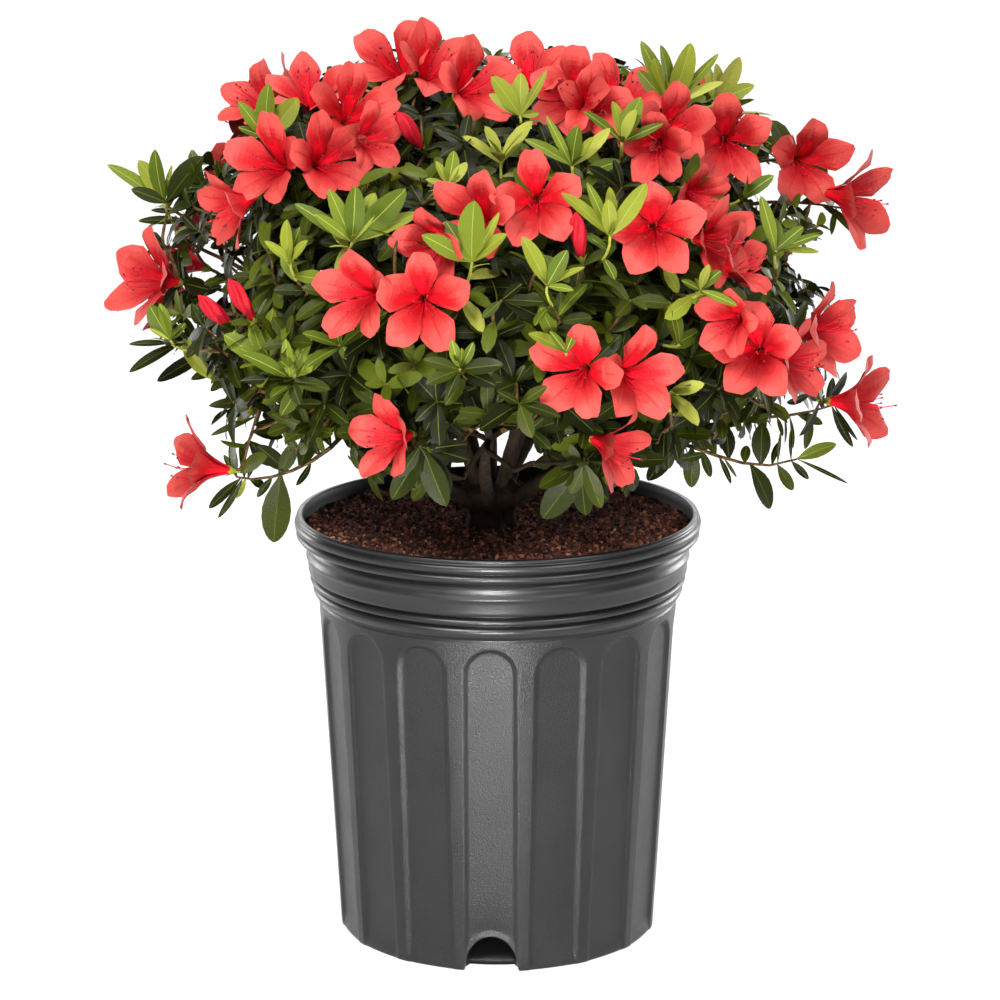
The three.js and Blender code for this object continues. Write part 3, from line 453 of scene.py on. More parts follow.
# Radius and height up the outside over the smooth wall, over the lip and down the inside
POT_FOOT = [(90.6, 0.0), (91.6, 0.5), (91.9, 1.6)]
POT_SHOULDER = (102.5, 195.0)
POT_ABOVE = [
    (101.9, 195.8), (102.1, 196.6), (103.6, 197.6), (105.0, 199.4), (105.8, 201.2), (105.7, 202.6),
    (104.4, 203.8), (102.7, 204.4), (102.8, 204.9), (105.6, 205.5), (107.0, 206.3), (107.4, 207.4),
    (107.1, 208.5), (105.9, 209.3), (103.9, 209.8), (103.9, 210.4), (106.7, 211.0), (108.1, 211.9),
    (108.4, 213.5), (108.5, 218.2), (109.0, 219.6), (109.6, 220.6), (109.5, 221.9), (108.8, 222.9),
    (108.7, 225.6), (108.9, 228.2), (107.5, 229.0), (107.6, 229.7), (110.9, 230.6), (114.0, 231.6),
    (115.1, 233.0), (115.1, 234.5), (114.0, 235.6), (112.5, 236.1), (112.6, 236.6), (114.6, 237.1),
    (115.8, 238.0), (116.0, 239.4), (115.8, 240.8), (115.0, 241.6), (113.7, 242.0), (114.1, 242.6),
    (114.8, 243.5), (114.2, 244.6), (112.9, 245.0), (111.6, 244.6), (110.9, 243.2), (110.6, 240.0),
    (110.0, 236.0), (107.6, 229.0), (100.9, 208.0), (98.6, 199.5),
]
INSIDE_ROWS = 7  # the last places of POT_ABOVE, down the inside
POT_INSIDE_FOOT = (87.9, 0.0)
FLOOR_TOP = 4
FLOOR_HUB = 20
FLOOR_NOTCH_RADIUS = 80
FLOOR_COLUMNS = 240
FLOOR_GAP = 0.1  # from the wall

# Potting mix
SOIL_LEVEL = 235.8
SOIL_EDGE_LEVEL = 236.6
SOIL_FLAT_RADIUS = 34
SOIL_RADIUS = 109.8
SOIL_ROUGHNESS = 2.6
# Shift of the noise, its widest lumps, and weight
SOIL_LUMPS = [(0, 17, 0.7), (31, 4.5, 0.8)]
SOIL_ROWS = 76
SOIL_LAST_STEP = 1.5
SOIL_COLUMNS = 300
MIX_FOOT = 26  # above the notches, which show only the dark inside of the pot
MIX_SIDES = [(107.9, 231.0), (100.2, 208.0), (98.1, 199.5), (89.2, MIX_FOOT)]
CRUMBS = 8200
CRUMB_LEAST = 0.42  # radius
CRUMB_MORE = 1.15
CRUMB_EDGE = 2.5  # from the edge of the mix
CRUMB_LIFT = 0.25  # of its radius
CRUMB_STRETCH = (0.5, 1.5)
CRUMB_LUMPS = (0.72, 1.2)
# Colour and share
CRUMB_SHADES = [((44, 26, 21), 0.34), ((98, 56, 43), 0.36), ((146, 88, 68), 0.24), ((176, 122, 94), 0.05)]
# To the right of the trunk the mix is dry: few crumbs there have the darkest shade
DRY_SHARE = 0.3
DRY_REACH = (52, 87)

# Stage
FLOOR_HALF = 15000
FLOOR_BELOW = 0.2
FLOOR_GLOW = 0.8
WORLD_STRENGTH = 0.28
# Place, point looked at, width, height, power in watts
LAMPS = {
    "key": ((-700, -1500, 1700), (0, 0, 330), 750, 650, 68),
    "front": ((100, -2700, 1250), (0, 0, 330), 1300, 900, 9),
    "fill": ((1150, -1350, 1500), (60, 0, 380), 900, 900, 28),
    "strip": ((-30, -640, 120), (0, 0, 130), 60, 220, 5.6),
    "top": ((100, 300, 1900), (0, 0, 350), 1000, 1000, 26),
    "back": ((0, 7000, 3200), (0, 0, 250), 9000, 3600, 330),
    "left": ((-1350, 1150, 320), (0, 0, 180), 600, 900, 13),
    "right": ((1350, 1150, 320), (0, 0, 180), 600, 900, 19),
}

rng = np.random.default_rng(7)


def chance(i, j):
    """A repeatable number from 0 to 1 for a pair of whole numbers."""
    s = math.sin(i * 12.9898 + j * 78.233 + 4.1) * 43758.5453
    return s - math.floor(s)


def spread(i):
    """The i-th place of an even, open-ended spread over three axes."""
    return [(0.5 + a * (i + 1)) % 1 for a in (0.8191725134, 0.6710436067, 0.5497004779)]


def between(pair, share):
    return pair[0] + (pair[1] - pair[0]) * share


def unit(v):
    v = np.asarray(v, float)
    return v / np.maximum(np.linalg.norm(v, axis=-1, keepdims=True), 1e-12)


def heading(azimuth, elevation):
    a, e = math.radians(azimuth), math.radians(elevation)
    return np.array([math.cos(a) * math.cos(e), math.sin(a) * math.cos(e), math.sin(e)])


def smooth(x):
    x = np.clip(x, 0, 1)
    return x * x * (3 - 2 * x)


def rise(x, low, high=1):
    """0 up to low, 1 from high on, and smooth between them."""
    return smooth((x - low) / (high - low))


def bezier(controls, t):
    """Points of cubic curves: controls (..., 4, 3) at each t, as (..., len(t), 3)."""
    controls, t = np.asarray(controls, float), np.asarray(t, float)
    weights = np.stack([(1 - t) ** 3, 3 * t * (1 - t) ** 2, 3 * t * t * (1 - t), t**3], -1)
    return np.einsum("tk,...kc->...tc", weights, controls)


def through(points):
    """Controls of the cubic curve that passes four points at even steps."""
    a, b, c, d = np.array(points)
    return np.array([a, (-5 * a + 18 * b - 9 * c + 2 * d) / 6, (2 * a - 9 * b + 18 * c - 5 * d) / 6, d])


def turned_about(v, axis, degrees):
    """v turned about a unit axis."""
    a = math.radians(degrees)
    return v * math.cos(a) + np.cross(axis, v) * math.sin(a) + axis * np.dot(axis, v) * (1 - math.cos(a))


def even_angles(count):
    return np.arange(count) * 2 * math.pi / count


def ring(radius, angle, height):
    """Points round the pot's axis."""
    x, y, z = np.broadcast_arrays(radius * np.cos(angle), radius * np.sin(angle), height)
    return np.stack([x, y, z], -1)


def fractal(points, size, octaves):
    """Fractal noise at points in millimetres, its widest lumps of a given size."""
    values = [noise.fractal(Vector(p) / size, 1.0, 2.0, octaves) for p in points.reshape(-1, 3)]
    return np.array(values).reshape(points.shape[:-1])


# Camera and sight lines


def camera_axes():
    p = math.radians(CAMERA_PITCH)
    forward = np.array([0, math.cos(p), -math.sin(p)])
    upward = np.array([0, math.sin(p), math.cos(p)])
    return forward, upward, CAMERA_AIM - forward * CAMERA_DISTANCE


def pixels_of(points):
    forward, upward, eye = camera_axes()
    d = np.asarray(points) - eye
    depth = d @ forward
    u = PICTURE / 2 + FOCAL_PIXELS * d[..., 0] / depth
    return u, PICTURE / 2 - FOCAL_PIXELS * (d @ upward) / depth


def is_sky(points):
    u, v = pixels_of(points)
    open_here = np.zeros(np.shape(u), bool)
    for middle_u, middle_v, half_u, half_v in SKY:
        open_here |= ((u - middle_u) / half_u) ** 2 + ((v - middle_v) / half_v) ** 2 < 1
    return open_here


def sight(u, v):
    """The eye, and the direction in which it sees a pixel."""
    forward, upward, eye = camera_axes()
    return eye, forward * FOCAL_PIXELS + np.array([u - PICTURE / 2, 0, 0]) - upward * (v - PICTURE / 2)


def placed(u, v, back):
    """The point that a pixel shows on the upright plane that far behind the pot's axis."""
    eye, ray = sight(u, v)
    return eye + ray * (back - eye[1]) / ray[1]


def seen_point(u, v):
    """The place on the crown that a pixel shows, or the nearest one to a sight line that passes it."""
    eye, ray = sight(u, v)
    points = eye + unit(ray) * (CAMERA_DISTANCE + SIGHT_STEPS)[:, None]
    share = crown_share(points)
    inside = np.flatnonzero(share <= BLOSSOM_SHARE)
    return points[inside[0] if len(inside) else np.argmin(share)]


def make_camera():
    data = bpy.data.cameras.new("view")
    data.lens = FOCAL_PIXELS / PICTURE * SENSOR_WIDTH
    data.sensor_width = SENSOR_WIDTH
    data.clip_end = CLIP_END
    camera = bpy.data.objects.new("view", data)
    camera.location = Vector(camera_axes()[2] * MM)
    camera.rotation_euler = (math.radians(90 - CAMERA_PITCH), 0, 0)
    bpy.context.scene.collection.objects.link(camera)
    bpy.context.scene.camera = camera


# Meshes


def mesh_object(name, verts, groups, materials, flat=False):
    """A mesh from millimetres. A group is an array of faces with one material index, or one for each."""
    verts = np.reshape(np.asarray(verts, float), (-1, 3))
    mesh = bpy.data.meshes.new(name)
    mesh.vertices.add(len(verts))
    mesh.vertices.foreach_set("co", (verts * MM).astype(np.float32).ravel())
    corners = np.concatenate([np.asarray(f).ravel() for f, _ in groups]).astype(np.int32)
    sizes = np.concatenate([np.full(len(f), np.shape(f)[1]) for f, _ in groups])
    mesh.loops.add(len(corners))
    mesh.loops.foreach_set("vertex_index", corners)
    mesh.polygons.add(len(sizes))
    mesh.polygons.foreach_set("loop_start", np.concatenate([[0], np.cumsum(sizes)[:-1]]).astype(np.int32))
    chosen = np.concatenate([np.broadcast_to(m, len(f)) for f, m in groups]).astype(np.int32)
    mesh.polygons.foreach_set("material_index", chosen)
    mesh.polygons.foreach_set("use_smooth", np.full(len(sizes), not flat))
    mesh.update(calc_edges=True)
    mesh.validate()
    for material in materials:
        mesh.materials.append(material)
    piece = bpy.data.objects.new(name, mesh)
    bpy.context.scene.collection.objects.link(piece)
    return piece


def finish_piece(piece, slot, *nodes):
    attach(piece, "root")
    if nodes:
        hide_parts(*nodes)


def add_piece(name, verts, groups, materials, slot, *nodes, flat=False):
    finish_piece(mesh_object(name, verts, groups, materials, flat), slot, *nodes)


def add_crown_piece(name, verts, groups, materials, slot=None):
    add_piece(name, verts, groups, materials, slot, *FOLIAGE_NODES)


def copies(faces, count, size):
    """The same faces for each of count equal blocks of vertices."""
    return (faces[None] + (np.arange(count) * size)[:, None, None]).reshape(-1, faces.shape[1])


def grid_faces(rows, columns, closed=True, count=1):
    """Quads over count equal grids of points, whose rows are closed into rings or not."""
    i, j = np.meshgrid(np.arange(rows - 1), np.arange(columns if closed else columns - 1), indexing="ij")
    i, j = i.ravel(), j.ravel()
    k = (j + 1) % columns
    one = np.stack([i * columns + j, i * columns + k, (i + 1) * columns + k, (i + 1) * columns + j], 1)
    return copies(one, count, rows * columns)


def lid_faces(rows, columns):
    """The first and the last ring of a closed grid as two faces."""
    column = np.arange(columns)
    return np.array([column[::-1], column + (rows - 1) * columns])


def icosahedron():
    g = (1 + 5**0.5) / 2
    verts = [(-1, g, 0), (1, g, 0), (-1, -g, 0), (1, -g, 0), (0, -1, g), (0, 1, g),
             (0, -1, -g), (0, 1, -g), (g, 0, -1), (g, 0, 1), (-g, 0, -1), (-g, 0, 1)]
    faces = [(0, 11, 5), (0, 5, 1), (0, 1, 7), (0, 7, 10), (0, 10, 11), (1, 5, 9), (5, 11, 4), (11, 10, 2),
             (10, 7, 6), (7, 1, 8), (3, 9, 4), (3, 4, 2), (3, 2, 6), (3, 6, 8), (3, 8, 9), (4, 9, 5),
             (2, 4, 11), (6, 2, 10), (8, 6, 7), (9, 8, 1)]
    return unit(np.array(verts, float)), np.array(faces)


def tubes(paths, radii, sides):
    """Capped tubes along many paths of equal length: paths (n, rings, 3) and radii (n, rings)."""
    count, rings, _ = paths.shape
    tangents = unit(np.gradient(paths, axis=1))
    helper = np.where(np.abs(tangents[:, 0, 2:3]) > 0.9, [[1.0, 0, 0]], [[0, 0, 1.0]])
    normal = unit(np.cross(tangents[:, 0], helper))
    cos, sin = (f(even_angles(sides))[None, :, None] for f in (np.cos, np.sin))
    verts = np.empty((count, rings, sides, 3))
    for k in range(rings):
        t = tangents[:, k]
        normal = unit(normal - t * np.sum(normal * t, 1, keepdims=True))
        side = np.cross(t, normal)
        around = normal[:, None] * cos + side[:, None] * sin
        verts[:, k] = paths[:, k, None] + around * radii[:, k, None, None]
    fan = np.array([(0, k, k + 1) for k in range(1, sides - 1)])
    caps = np.concatenate([fan[:, ::-1], fan + (rings - 1) * sides])
    return verts.reshape(-1, 3), grid_faces(rings, sides, count=count), copies(caps, count, rings * sides)


# Materials


def linear(rgb):
    c = np.asarray(rgb, float) / 255
    return tuple(np.where(c <= 0.04045, c / 12.92, ((c + 0.055) / 1.055) ** 2.4)) + (1.0,)


def new_material(name, rgb, roughness, specular):
    material = bpy.data.materials.new(name)
    material.use_nodes = True
    shader = material.node_tree.nodes["Principled BSDF"]
    shader.inputs["Base Color"].default_value = linear(rgb)
    shader.inputs["Roughness"].default_value = roughness
    shader.inputs["Specular IOR Level"].default_value = specular
    return material


def noise_into(material, socket, kind, scale, detail, stretch=None):
    """A new node that noise in the object's own space drives, and that drives a socket of the shader."""
    tree = material.node_tree
    source = tree.nodes.new("ShaderNodeTexCoord").outputs["Object"]
    if stretch:
        mapping = tree.nodes.new("ShaderNodeMapping")
        mapping.inputs["Scale"].default_value = stretch
        tree.links.new(source, mapping.inputs["Vector"])
        source = mapping.outputs["Vector"]
    texture = tree.nodes.new("ShaderNodeTexNoise")
    texture.inputs["Scale"].default_value = scale
    texture.inputs["Detail"].default_value = detail
    tree.links.new(source, texture.inputs["Vector"])
    node = tree.nodes.new(kind)
    driven = {"ShaderNodeBump": "Height", "ShaderNodeMapRange": "Value", "ShaderNodeValToRGB": "Fac"}[kind]
    tree.links.new(texture.outputs["Fac"], node.inputs[driven])
    tree.links.new(node.outputs[0], tree.nodes["Principled BSDF"].inputs[socket])
    return node


def add_bump(material, scale, depth, detail=3.0, stretch=None):
    """Fine relief, its depth in millimetres."""
    bump = noise_into(material, "Normal", "ShaderNodeBump", scale, detail, stretch)
    bump.inputs["Distance"].default_value = depth * MM


def add_roughness(material, scale, low, high):
    span = noise_into(material, "Roughness", "ShaderNodeMapRange", scale, 2.0)
    for entry, value in [("From Min", 0.3), ("From Max", 0.7), ("To Min", low), ("To Max", high)]:
        span.inputs[entry].default_value = value


def add_mottle(material, scale, dark, light, low=0.35, high=0.65, stretch=None):
    """A base colour that wanders between two colours."""
    ramp = noise_into(material, "Base Color", "ShaderNodeValToRGB", scale, 4.0, stretch).color_ramp
    for element, position, rgb in zip(ramp.elements, (low, high), (dark, light)):
        element.position = position
        element.color = linear(rgb)


def pot_stippled():
    material = new_material("pot_stippled", (18, 18, 19), 0.36, 0.38)
    add_mottle(material, 35, (15, 15, 16), (21, 21, 22))
    add_roughness(material, 60, 0.32, 0.4)
    add_bump(material, 1250, 0.34)
    return material


def pot_rim():
    material = new_material("pot_rim", (17, 17, 18), 0.34, 0.42)
    add_mottle(material, 35, (15, 15, 16), (21, 21, 22), stretch=(1, 1, 8))
    add_roughness(material, 90, 0.3, 0.38)
    add_bump(material, 900, 0.05, 2.0)
    return material


# The inside wall and floor are the same plastic as the outside, painted darker as shade inside the pot.
def pot_inside_shaded():
    material = new_material("pot_inside_shaded", (9, 9, 10), 0.5, 0.2)
    add_bump(material, 900, 0.05, 2.0)
    return material


def mix_bulk():
    material = new_material("mix_bulk", (66, 42, 34), 0.95, 0.2)
    add_mottle(material, 260, (30, 18, 14), (96, 60, 46))
    add_bump(material, 420, 0.9, 6.0)
    return material


def crumb_material(number, rgb):
    material = new_material(f"mix_crumb_{number}", rgb, 0.92, 0.2)
    add_bump(material, 900, 0.3)
    return material


def bark_material():
    material = new_material("bark", (70, 52, 38), 0.9, 0.25)
    add_mottle(material, 220, (17, 12, 6), (46, 33, 18), 0.3, 0.7, (1, 1, 0.35))
    add_bump(material, 520, 1.1, 6.0, (1, 1, 0.4))
    return material


def twig_materials():
    """Brown bark, green young stems, and a dark brown that is painted shade on the twigs low round the
    trunk.
    """
    brown = new_material("twig_bark", (90, 68, 38), 0.8, 0.2)
    add_mottle(brown, 300, (48, 34, 15), (96, 72, 37))
    add_bump(brown, 800, 0.5)
    green = new_material("twig_green", (126, 128, 42), 0.6, 0.3)
    add_bump(green, 800, 0.3)
    shaded_wood = new_material("twig_shaded", (30, 21, 10), 0.9, 0.1)
    add_bump(shaded_wood, 800, 0.5)
    return [brown, green, shaded_wood]


def leaf_material(name, rgb, roughness):
    material = new_material(name, rgb, roughness, 0.1)
    add_roughness(material, 140, roughness - 0.08, roughness + 0.1)
    add_bump(material, 700, 0.25)
    return material


def petal_material(name, rgb):
    material = new_material(name, rgb, 0.6, 0.15)
    add_bump(material, 500, 0.2, 2.0)
    return material


# Pot


def flute_recess(x, z, radius, pitch_angle):
    """How far a flute's flat floor lies under the round wall, with a rounded bevel at its edge."""
    centre = FLUTE_TOP - FLUTE_HALF
    inside = np.where(z < centre, FLUTE_HALF - np.abs(x), FLUTE_HALF - np.hypot(x, z - centre))
    floor = (radius - FLUTE_DEPTH) / np.cos(pitch_angle)
    depth_share = between((FLUTE_FOOT_SHARE, 1), smooth(z / FLUTE_FOOT_RISE))
    return (radius - floor) * smooth(inside / FLUTE_BEVEL) * depth_share


def pot_profile():
    """The mesh's rings as radius and height, and how many there are up to POT_ABOVE and with it."""
    foot_radius, foot_height = POT_FOOT[-1]
    slope = (POT_SHOULDER[0] - foot_radius) / (POT_SHOULDER[1] - foot_height)
    wall = [*POT_FOOT, *[(foot_radius + slope * (z - foot_height), z) for z in OUTER_HEIGHTS], POT_SHOULDER]
    inner_radius = POT_INSIDE_FOOT[0]
    top_radius, top_height = POT_ABOVE[-1]
    inside = [(inner_radius + (top_radius - inner_radius) * z / top_height, z) for z in INNER_HEIGHTS]
    return np.array(wall + POT_ABOVE + inside), len(wall), len(wall) + len(POT_ABOVE)


def pot_angles(radii):
    """Each column's angle round the pot and from the nearest flute's middle, ring by ring."""
    half_pitch = math.pi / FLUTES
    edge = np.arcsin(FLUTE_HALF / radii)[:, None]
    in_flute = edge * np.linspace(-1, 1, FLUTE_COLUMNS + 1)
    on_rib = edge + np.linspace(0, 1, RIB_COLUMNS + 2)[1:-1] * 2 * (half_pitch - edge)
    pitch = np.concatenate([in_flute, on_rib], 1)
    local = np.tile(pitch, (1, FLUTES))
    angle = local + np.repeat(np.arange(FLUTES) * 2 * half_pitch, pitch.shape[1])
    return angle, np.where(local > half_pitch, local - 2 * half_pitch, local)


def off_notch(angle):
    """The angle to the nearest notch's middle."""
    turn = 2 * math.pi / NOTCHES
    return np.abs((angle + turn / 2) % turn - turn / 2)


def pot_floor(base):
    """The floor inside the wall, cut back behind each notch: its points, its faces and its two lids."""
    around = even_angles(FLOOR_COLUMNS)
    behind_notch = off_notch(around) * POT_INSIDE_FOOT[0] < NOTCH_HALF - 1
    rim = np.where(behind_notch, FLOOR_NOTCH_RADIUS, POT_INSIDE_FOOT[0] - FLOOR_GAP)
    rings = [(FLOOR_HUB, 0), (rim, 0), (rim, FLOOR_TOP), (FLOOR_HUB, FLOOR_TOP)]
    turned = around + math.radians(POT_TURN - 90)
    verts = np.concatenate([ring(radius, turned, height) for radius, height in rings])
    lids = lid_faces(len(rings), FLOOR_COLUMNS)
    return verts, grid_faces(len(rings), FLOOR_COLUMNS) + base, lids + base


def make_pot():
    profile, wall_rings, outer_rings = pot_profile()
    angle, local = pot_angles(profile[:, 0])
    radius = np.repeat(profile[:, :1], angle.shape[1], 1)
    height = np.repeat(profile[:, 1:], angle.shape[1], 1)
    rows = np.arange(len(profile))[:, None]
    recess = flute_recess(radius * np.sin(local), height, radius, local)
    radius = np.where(rows < wall_rings, radius - recess, radius)
    # The notches lift the lowest rings to a half-round, inside and outside alike
    across = off_notch(angle) * (POT_FOOT[-1][0] - FLUTE_DEPTH) / NOTCH_HALF
    half_round = np.sqrt(np.clip(1 - across**2, 0, 1)) * NOTCH_TOP
    is_wall = (rows < wall_rings) | (rows >= outer_rings)
    lifted = half_round + height * (NOTCH_ZONE - half_round) / NOTCH_ZONE
    height = np.where(is_wall & (height < NOTCH_ZONE), lifted, height)
    verts = ring(radius, angle + math.radians(POT_TURN - 90), height)
    columns = verts.shape[1]
    outer = np.arange(columns)
    inner = outer + (len(profile) - 1) * columns
    underside = np.stack([outer, inner, np.roll(inner, -1), np.roll(outer, -1)], 1)
    floor, floor_faces, floor_lids = pot_floor(verts.size // 3)
    row = np.arange(len(profile) - 1)
    part = np.where(row < wall_rings - 1, 0, np.where(row < outer_rings - INSIDE_ROWS, 1, 2))
    groups = [(grid_faces(len(profile), columns), np.repeat(part, columns)), (underside, 0),
              (floor_faces, 2), (floor_lids, 2)]
    add_piece("pot_shell", np.concatenate([verts.reshape(-1, 3), floor]), groups,
              [pot_stippled(), pot_rim(), pot_inside_shaded()], "pot", "nursery_pot")


# Potting mix


def soil_height(x, y):
    edge = rise(np.hypot(x, y), SOIL_FLAT_RADIUS, SOIL_RADIUS)
    flat = np.stack([x, y, np.zeros_like(x)], -1)
    relief = sum(weight * fractal(flat + shift, size, 3) for shift, size, weight in SOIL_LUMPS)
    return between((SOIL_LEVEL, SOIL_EDGE_LEVEL), edge) + SOIL_ROUGHNESS * relief


def make_mix_ground():
    around = even_angles(SOIL_COLUMNS)
    radii = np.append(np.linspace(1, SOIL_RADIUS - SOIL_LAST_STEP, SOIL_ROWS), SOIL_RADIUS)[:, None]
    x, y = radii * np.cos(around), radii * np.sin(around)
    top = np.stack([x, y, soil_height(x, y)], -1)
    rows = np.concatenate([top, [ring(radius, around, height) for radius, height in MIX_SIDES]])
    faces, lids = grid_faces(len(rows), SOIL_COLUMNS), lid_faces(len(rows), SOIL_COLUMNS)
    groups = [(faces[:, ::-1], 0), (lids[:, ::-1], 0)]
    add_piece("mix_ground", rows, groups, [mix_bulk()], "potting_mix", "potting_mix")


def make_mix_crumbs():
    ball, ball_faces = icosahedron()
    radius = np.sqrt(rng.random(CRUMBS)) * (SOIL_RADIUS - CRUMB_EDGE)
    turn = rng.random(CRUMBS) * 2 * math.pi
    x, y = radius * np.cos(turn), radius * np.sin(turn)
    half = CRUMB_LEAST + CRUMB_MORE * rng.random(CRUMBS) ** 2
    place = np.stack([x, y, soil_height(x, y) + half * CRUMB_LIFT], -1)
    stretch = rng.uniform(*CRUMB_STRETCH, (CRUMBS, 1, 3))
    lumps = ball[None] * rng.uniform(*CRUMB_LUMPS, (CRUMBS, len(ball), 1))
    lumps = lumps * stretch * half[:, None, None]
    spin = rng.random(CRUMBS)[:, None] * 2 * math.pi
    c, s = np.cos(spin), np.sin(spin)
    spun = [lumps[..., 0] * c - lumps[..., 1] * s, lumps[..., 0] * s + lumps[..., 1] * c, lumps[..., 2]]
    verts = np.stack(spun, -1) + place[:, None]
    dry = DRY_SHARE * rise(x, *DRY_REACH)
    scale = np.cumsum([share for _, share in CRUMB_SHADES])
    shade = np.searchsorted(scale, rng.random(CRUMBS) * (scale[-1] - dry) + dry)
    materials = [crumb_material(k + 1, rgb) for k, (rgb, _) in enumerate(CRUMB_SHADES)]
    faces = copies(ball_faces, CRUMBS, len(ball))
    shades = np.repeat(shade, len(ball_faces))
    add_piece("mix_crumbs", verts, [(faces, shades)], materials, "potting_mix", flat=True)


# Tree


def crown_reach(direction):
    direction = np.asarray(direction, float)
    vertical = np.where(direction[..., 2] > 0, CROWN_RISE, CROWN_DROP)
    across = direction[..., 0] / CROWN_HALF_WIDTH
    deep = direction[..., 1] / CROWN_HALF_DEPTH
    return 1 / np.sqrt(across**2 + deep**2 + (direction[..., 2] / vertical) ** 2)


def crown_point(direction, share):
    return CROWN_CENTRE + direction * crown_reach(direction) * share


def crown_share(points):
    """How far out in the crown points lie: 1 is its surface."""
    d = np.asarray(points) - CROWN_CENTRE
    return np.linalg.norm(d, axis=-1) / crown_reach(unit(d))


def make_boughs():
    """The boughs' curves, each with the centre of the mass that it carries."""
    boughs = []
    for tier in TIERS:
        for i in range(tier["count"]):
            turn = BOUGH_TURN_RANGE * (chance(i, tier["count"]) - 0.5)
            azimuth = tier["start"] + 360 * i / tier["count"] + turn
            centre = crown_point(heading(azimuth, tier["steep"]), tier["share"])
            root = TRUNK_BASE + heading(azimuth, 0) * tier["out"] + UP * tier["up"]
            end = root + (centre - root) * tier["ends"]
            length = np.linalg.norm(end - root)
            aside = heading(azimuth + 90, 0) * length * BOUGH_WANDER * (chance(i, 31) - 0.5)
            first = root + heading(azimuth, tier["leaves"]) * length / 3
            controls = np.array([root, first, end - (centre - end) / 3 + aside, end])
            name = f"{tier['name']}_{i + 1}" if tier["count"] > 1 else tier["name"]
            boughs.append({"name": name, "centre": centre, "controls": controls, "thick": tier["thick"],
                           "thin": tier["thin"], "tangent": unit(controls[3] - controls[2])})
    return boughs


def add_tip(tips, kind, at, axis, size=1.0, **more):
    """Something that a twig can end in."""
    tips.append({"kind": kind, "at": np.array(at), "axis": unit(axis), "seed": len(tips), "size": size,
                 "young": kind == "shoot", **more})


def add_seen_flowers(tips):
    flowers = [("blossom", *place) for place in BLOSSOMS] + [("bud", *place, 1.0) for place in BUDS]
    for kind, u, v, turn, tilt, size in flowers:
        axis = heading(turn - 90, tilt)
        add_tip(tips, kind, seen_point(u, v) - axis * BLOSSOM_FACE * size, axis, size)


def add_back_blossoms(tips):
    for i in range(BACK_BLOSSOMS):
        u, v, _ = spread(i)
        azimuth = between(BACK_AZIMUTHS, v)
        out = heading(azimuth, between(BACK_STEEPNESS, u))
        turn = BACK_TURN_RANGE * (chance(i, 3) - 0.5)
        axis = heading(azimuth + turn, between(BACK_TILTS, u * chance(i, 4)))
        face = crown_point(out, BLOSSOM_SHARE)
        right = unit(np.cross(UP, axis))
        above = np.cross(axis, right)
        around = [right * math.cos(a) + above * math.sin(a) for a in np.radians(PETAL_TURNS)]
        if not is_sky([face + PETAL_REACH * way for way in around]).any():
            add_tip(tips, "blossom", face - axis * BLOSSOM_FACE, axis)


def add_shoots(tips):
    for u, v in SHOOTS:
        at = seen_point(u, v)
        axis = unit(unit(at - CROWN_CENTRE) + UP)
        add_tip(tips, "shoot", at - axis * SHOOT_SET_BACK, axis)
    for foot_u, foot_v, young, leaf_tips in POSED:
        at = seen_point(foot_u, foot_v)
        ends = np.array([placed(u, v, at[1]) for u, v, _ in leaf_tips])
        axis = np.mean(unit(ends - at), 0) + UP * POSED_LIFT
        add_tip(tips, "posed", at, axis, young=young, leaf_tips=leaf_tips)


def add_whorls(tips):
    """Whorls of leaves and young shoots, spread evenly through the outer part of the crown."""
    at_all = np.array([tip["at"] for tip in tips])
    faces = np.array([tip["at"] + tip["axis"] * BLOSSOM_FACE for tip in tips if tip["kind"] == "blossom"])
    lowest = 1 - math.sin(math.radians(LOWEST_WHORL))
    for i in range(WHORL_TRIES):
        u, v, w = spread(i)
        out = heading(360 * v, math.degrees(math.asin(1 - lowest * u)))
        at = crown_point(out, WHORL_SHARE - WHORL_DEPTH * w**WHORL_DEPTH_POWER)
        if np.min(np.sum((at_all - at) ** 2, 1)) < TIP_SPACING**2:
            continue
        if np.min(np.sum((faces - at) ** 2, 1)) < FACE_SPACING**2 or is_sky(at):
            continue
        if chance(i, 8) < LOW_THINNING * smooth(-LOW_THINNING_RISE * out[2]):
            continue
        young = w < 0.5 and out[2] > YOUNG_LOWEST and chance(i, 9) < YOUNG_SHARE
        add_tip(tips, "shoot" if young else "whorl", at, out + WHORL_LIFT * UP)
        at_all = np.vstack([at_all, at])


def make_stem(bough):
    """The stem that carries a bough on into its mass."""
    start = bough["controls"][3]
    end = start + (bough["centre"] - start) * STEM_REACH
    bend = np.linalg.norm(end - start) * TWIG_BEND
    controls = np.array([start, start + bough["tangent"] * bend, end + (start - end) * TWIG_BEND, end])
    return {"controls": controls, "thick": bough["thin"], "thin": bough["thin"] * STEM_TAPER,
            "length": np.linalg.norm(end - start)}


def branchings(controls, shares, step):
    """Where twigs can leave a curve, and which way it runs there."""
    places = bezier(controls, shares)
    return list(places), list(unit(places - bezier(controls, np.array(shares) - step)))


def make_twig(start, tangent, tip, parent):
    """A twig to a tip. Every twig on the way to it then feeds one tip more."""
    length = np.linalg.norm(tip["at"] - start)
    controls = np.array([start, start + tangent * length * TWIG_BEND,
                         tip["at"] - tip["axis"] * length * TWIG_BEND, tip["at"]])
    if parent is not None and parent[1] == 1:
        parent[0]["beyond"] += 1
    up = parent
    while up is not None:
        up[0]["tips"] += 1
        up = up[0]["parent"]
    return {"controls": controls, "tip": tip, "tips": 1, "beyond": 1, "length": length, "parent": parent}


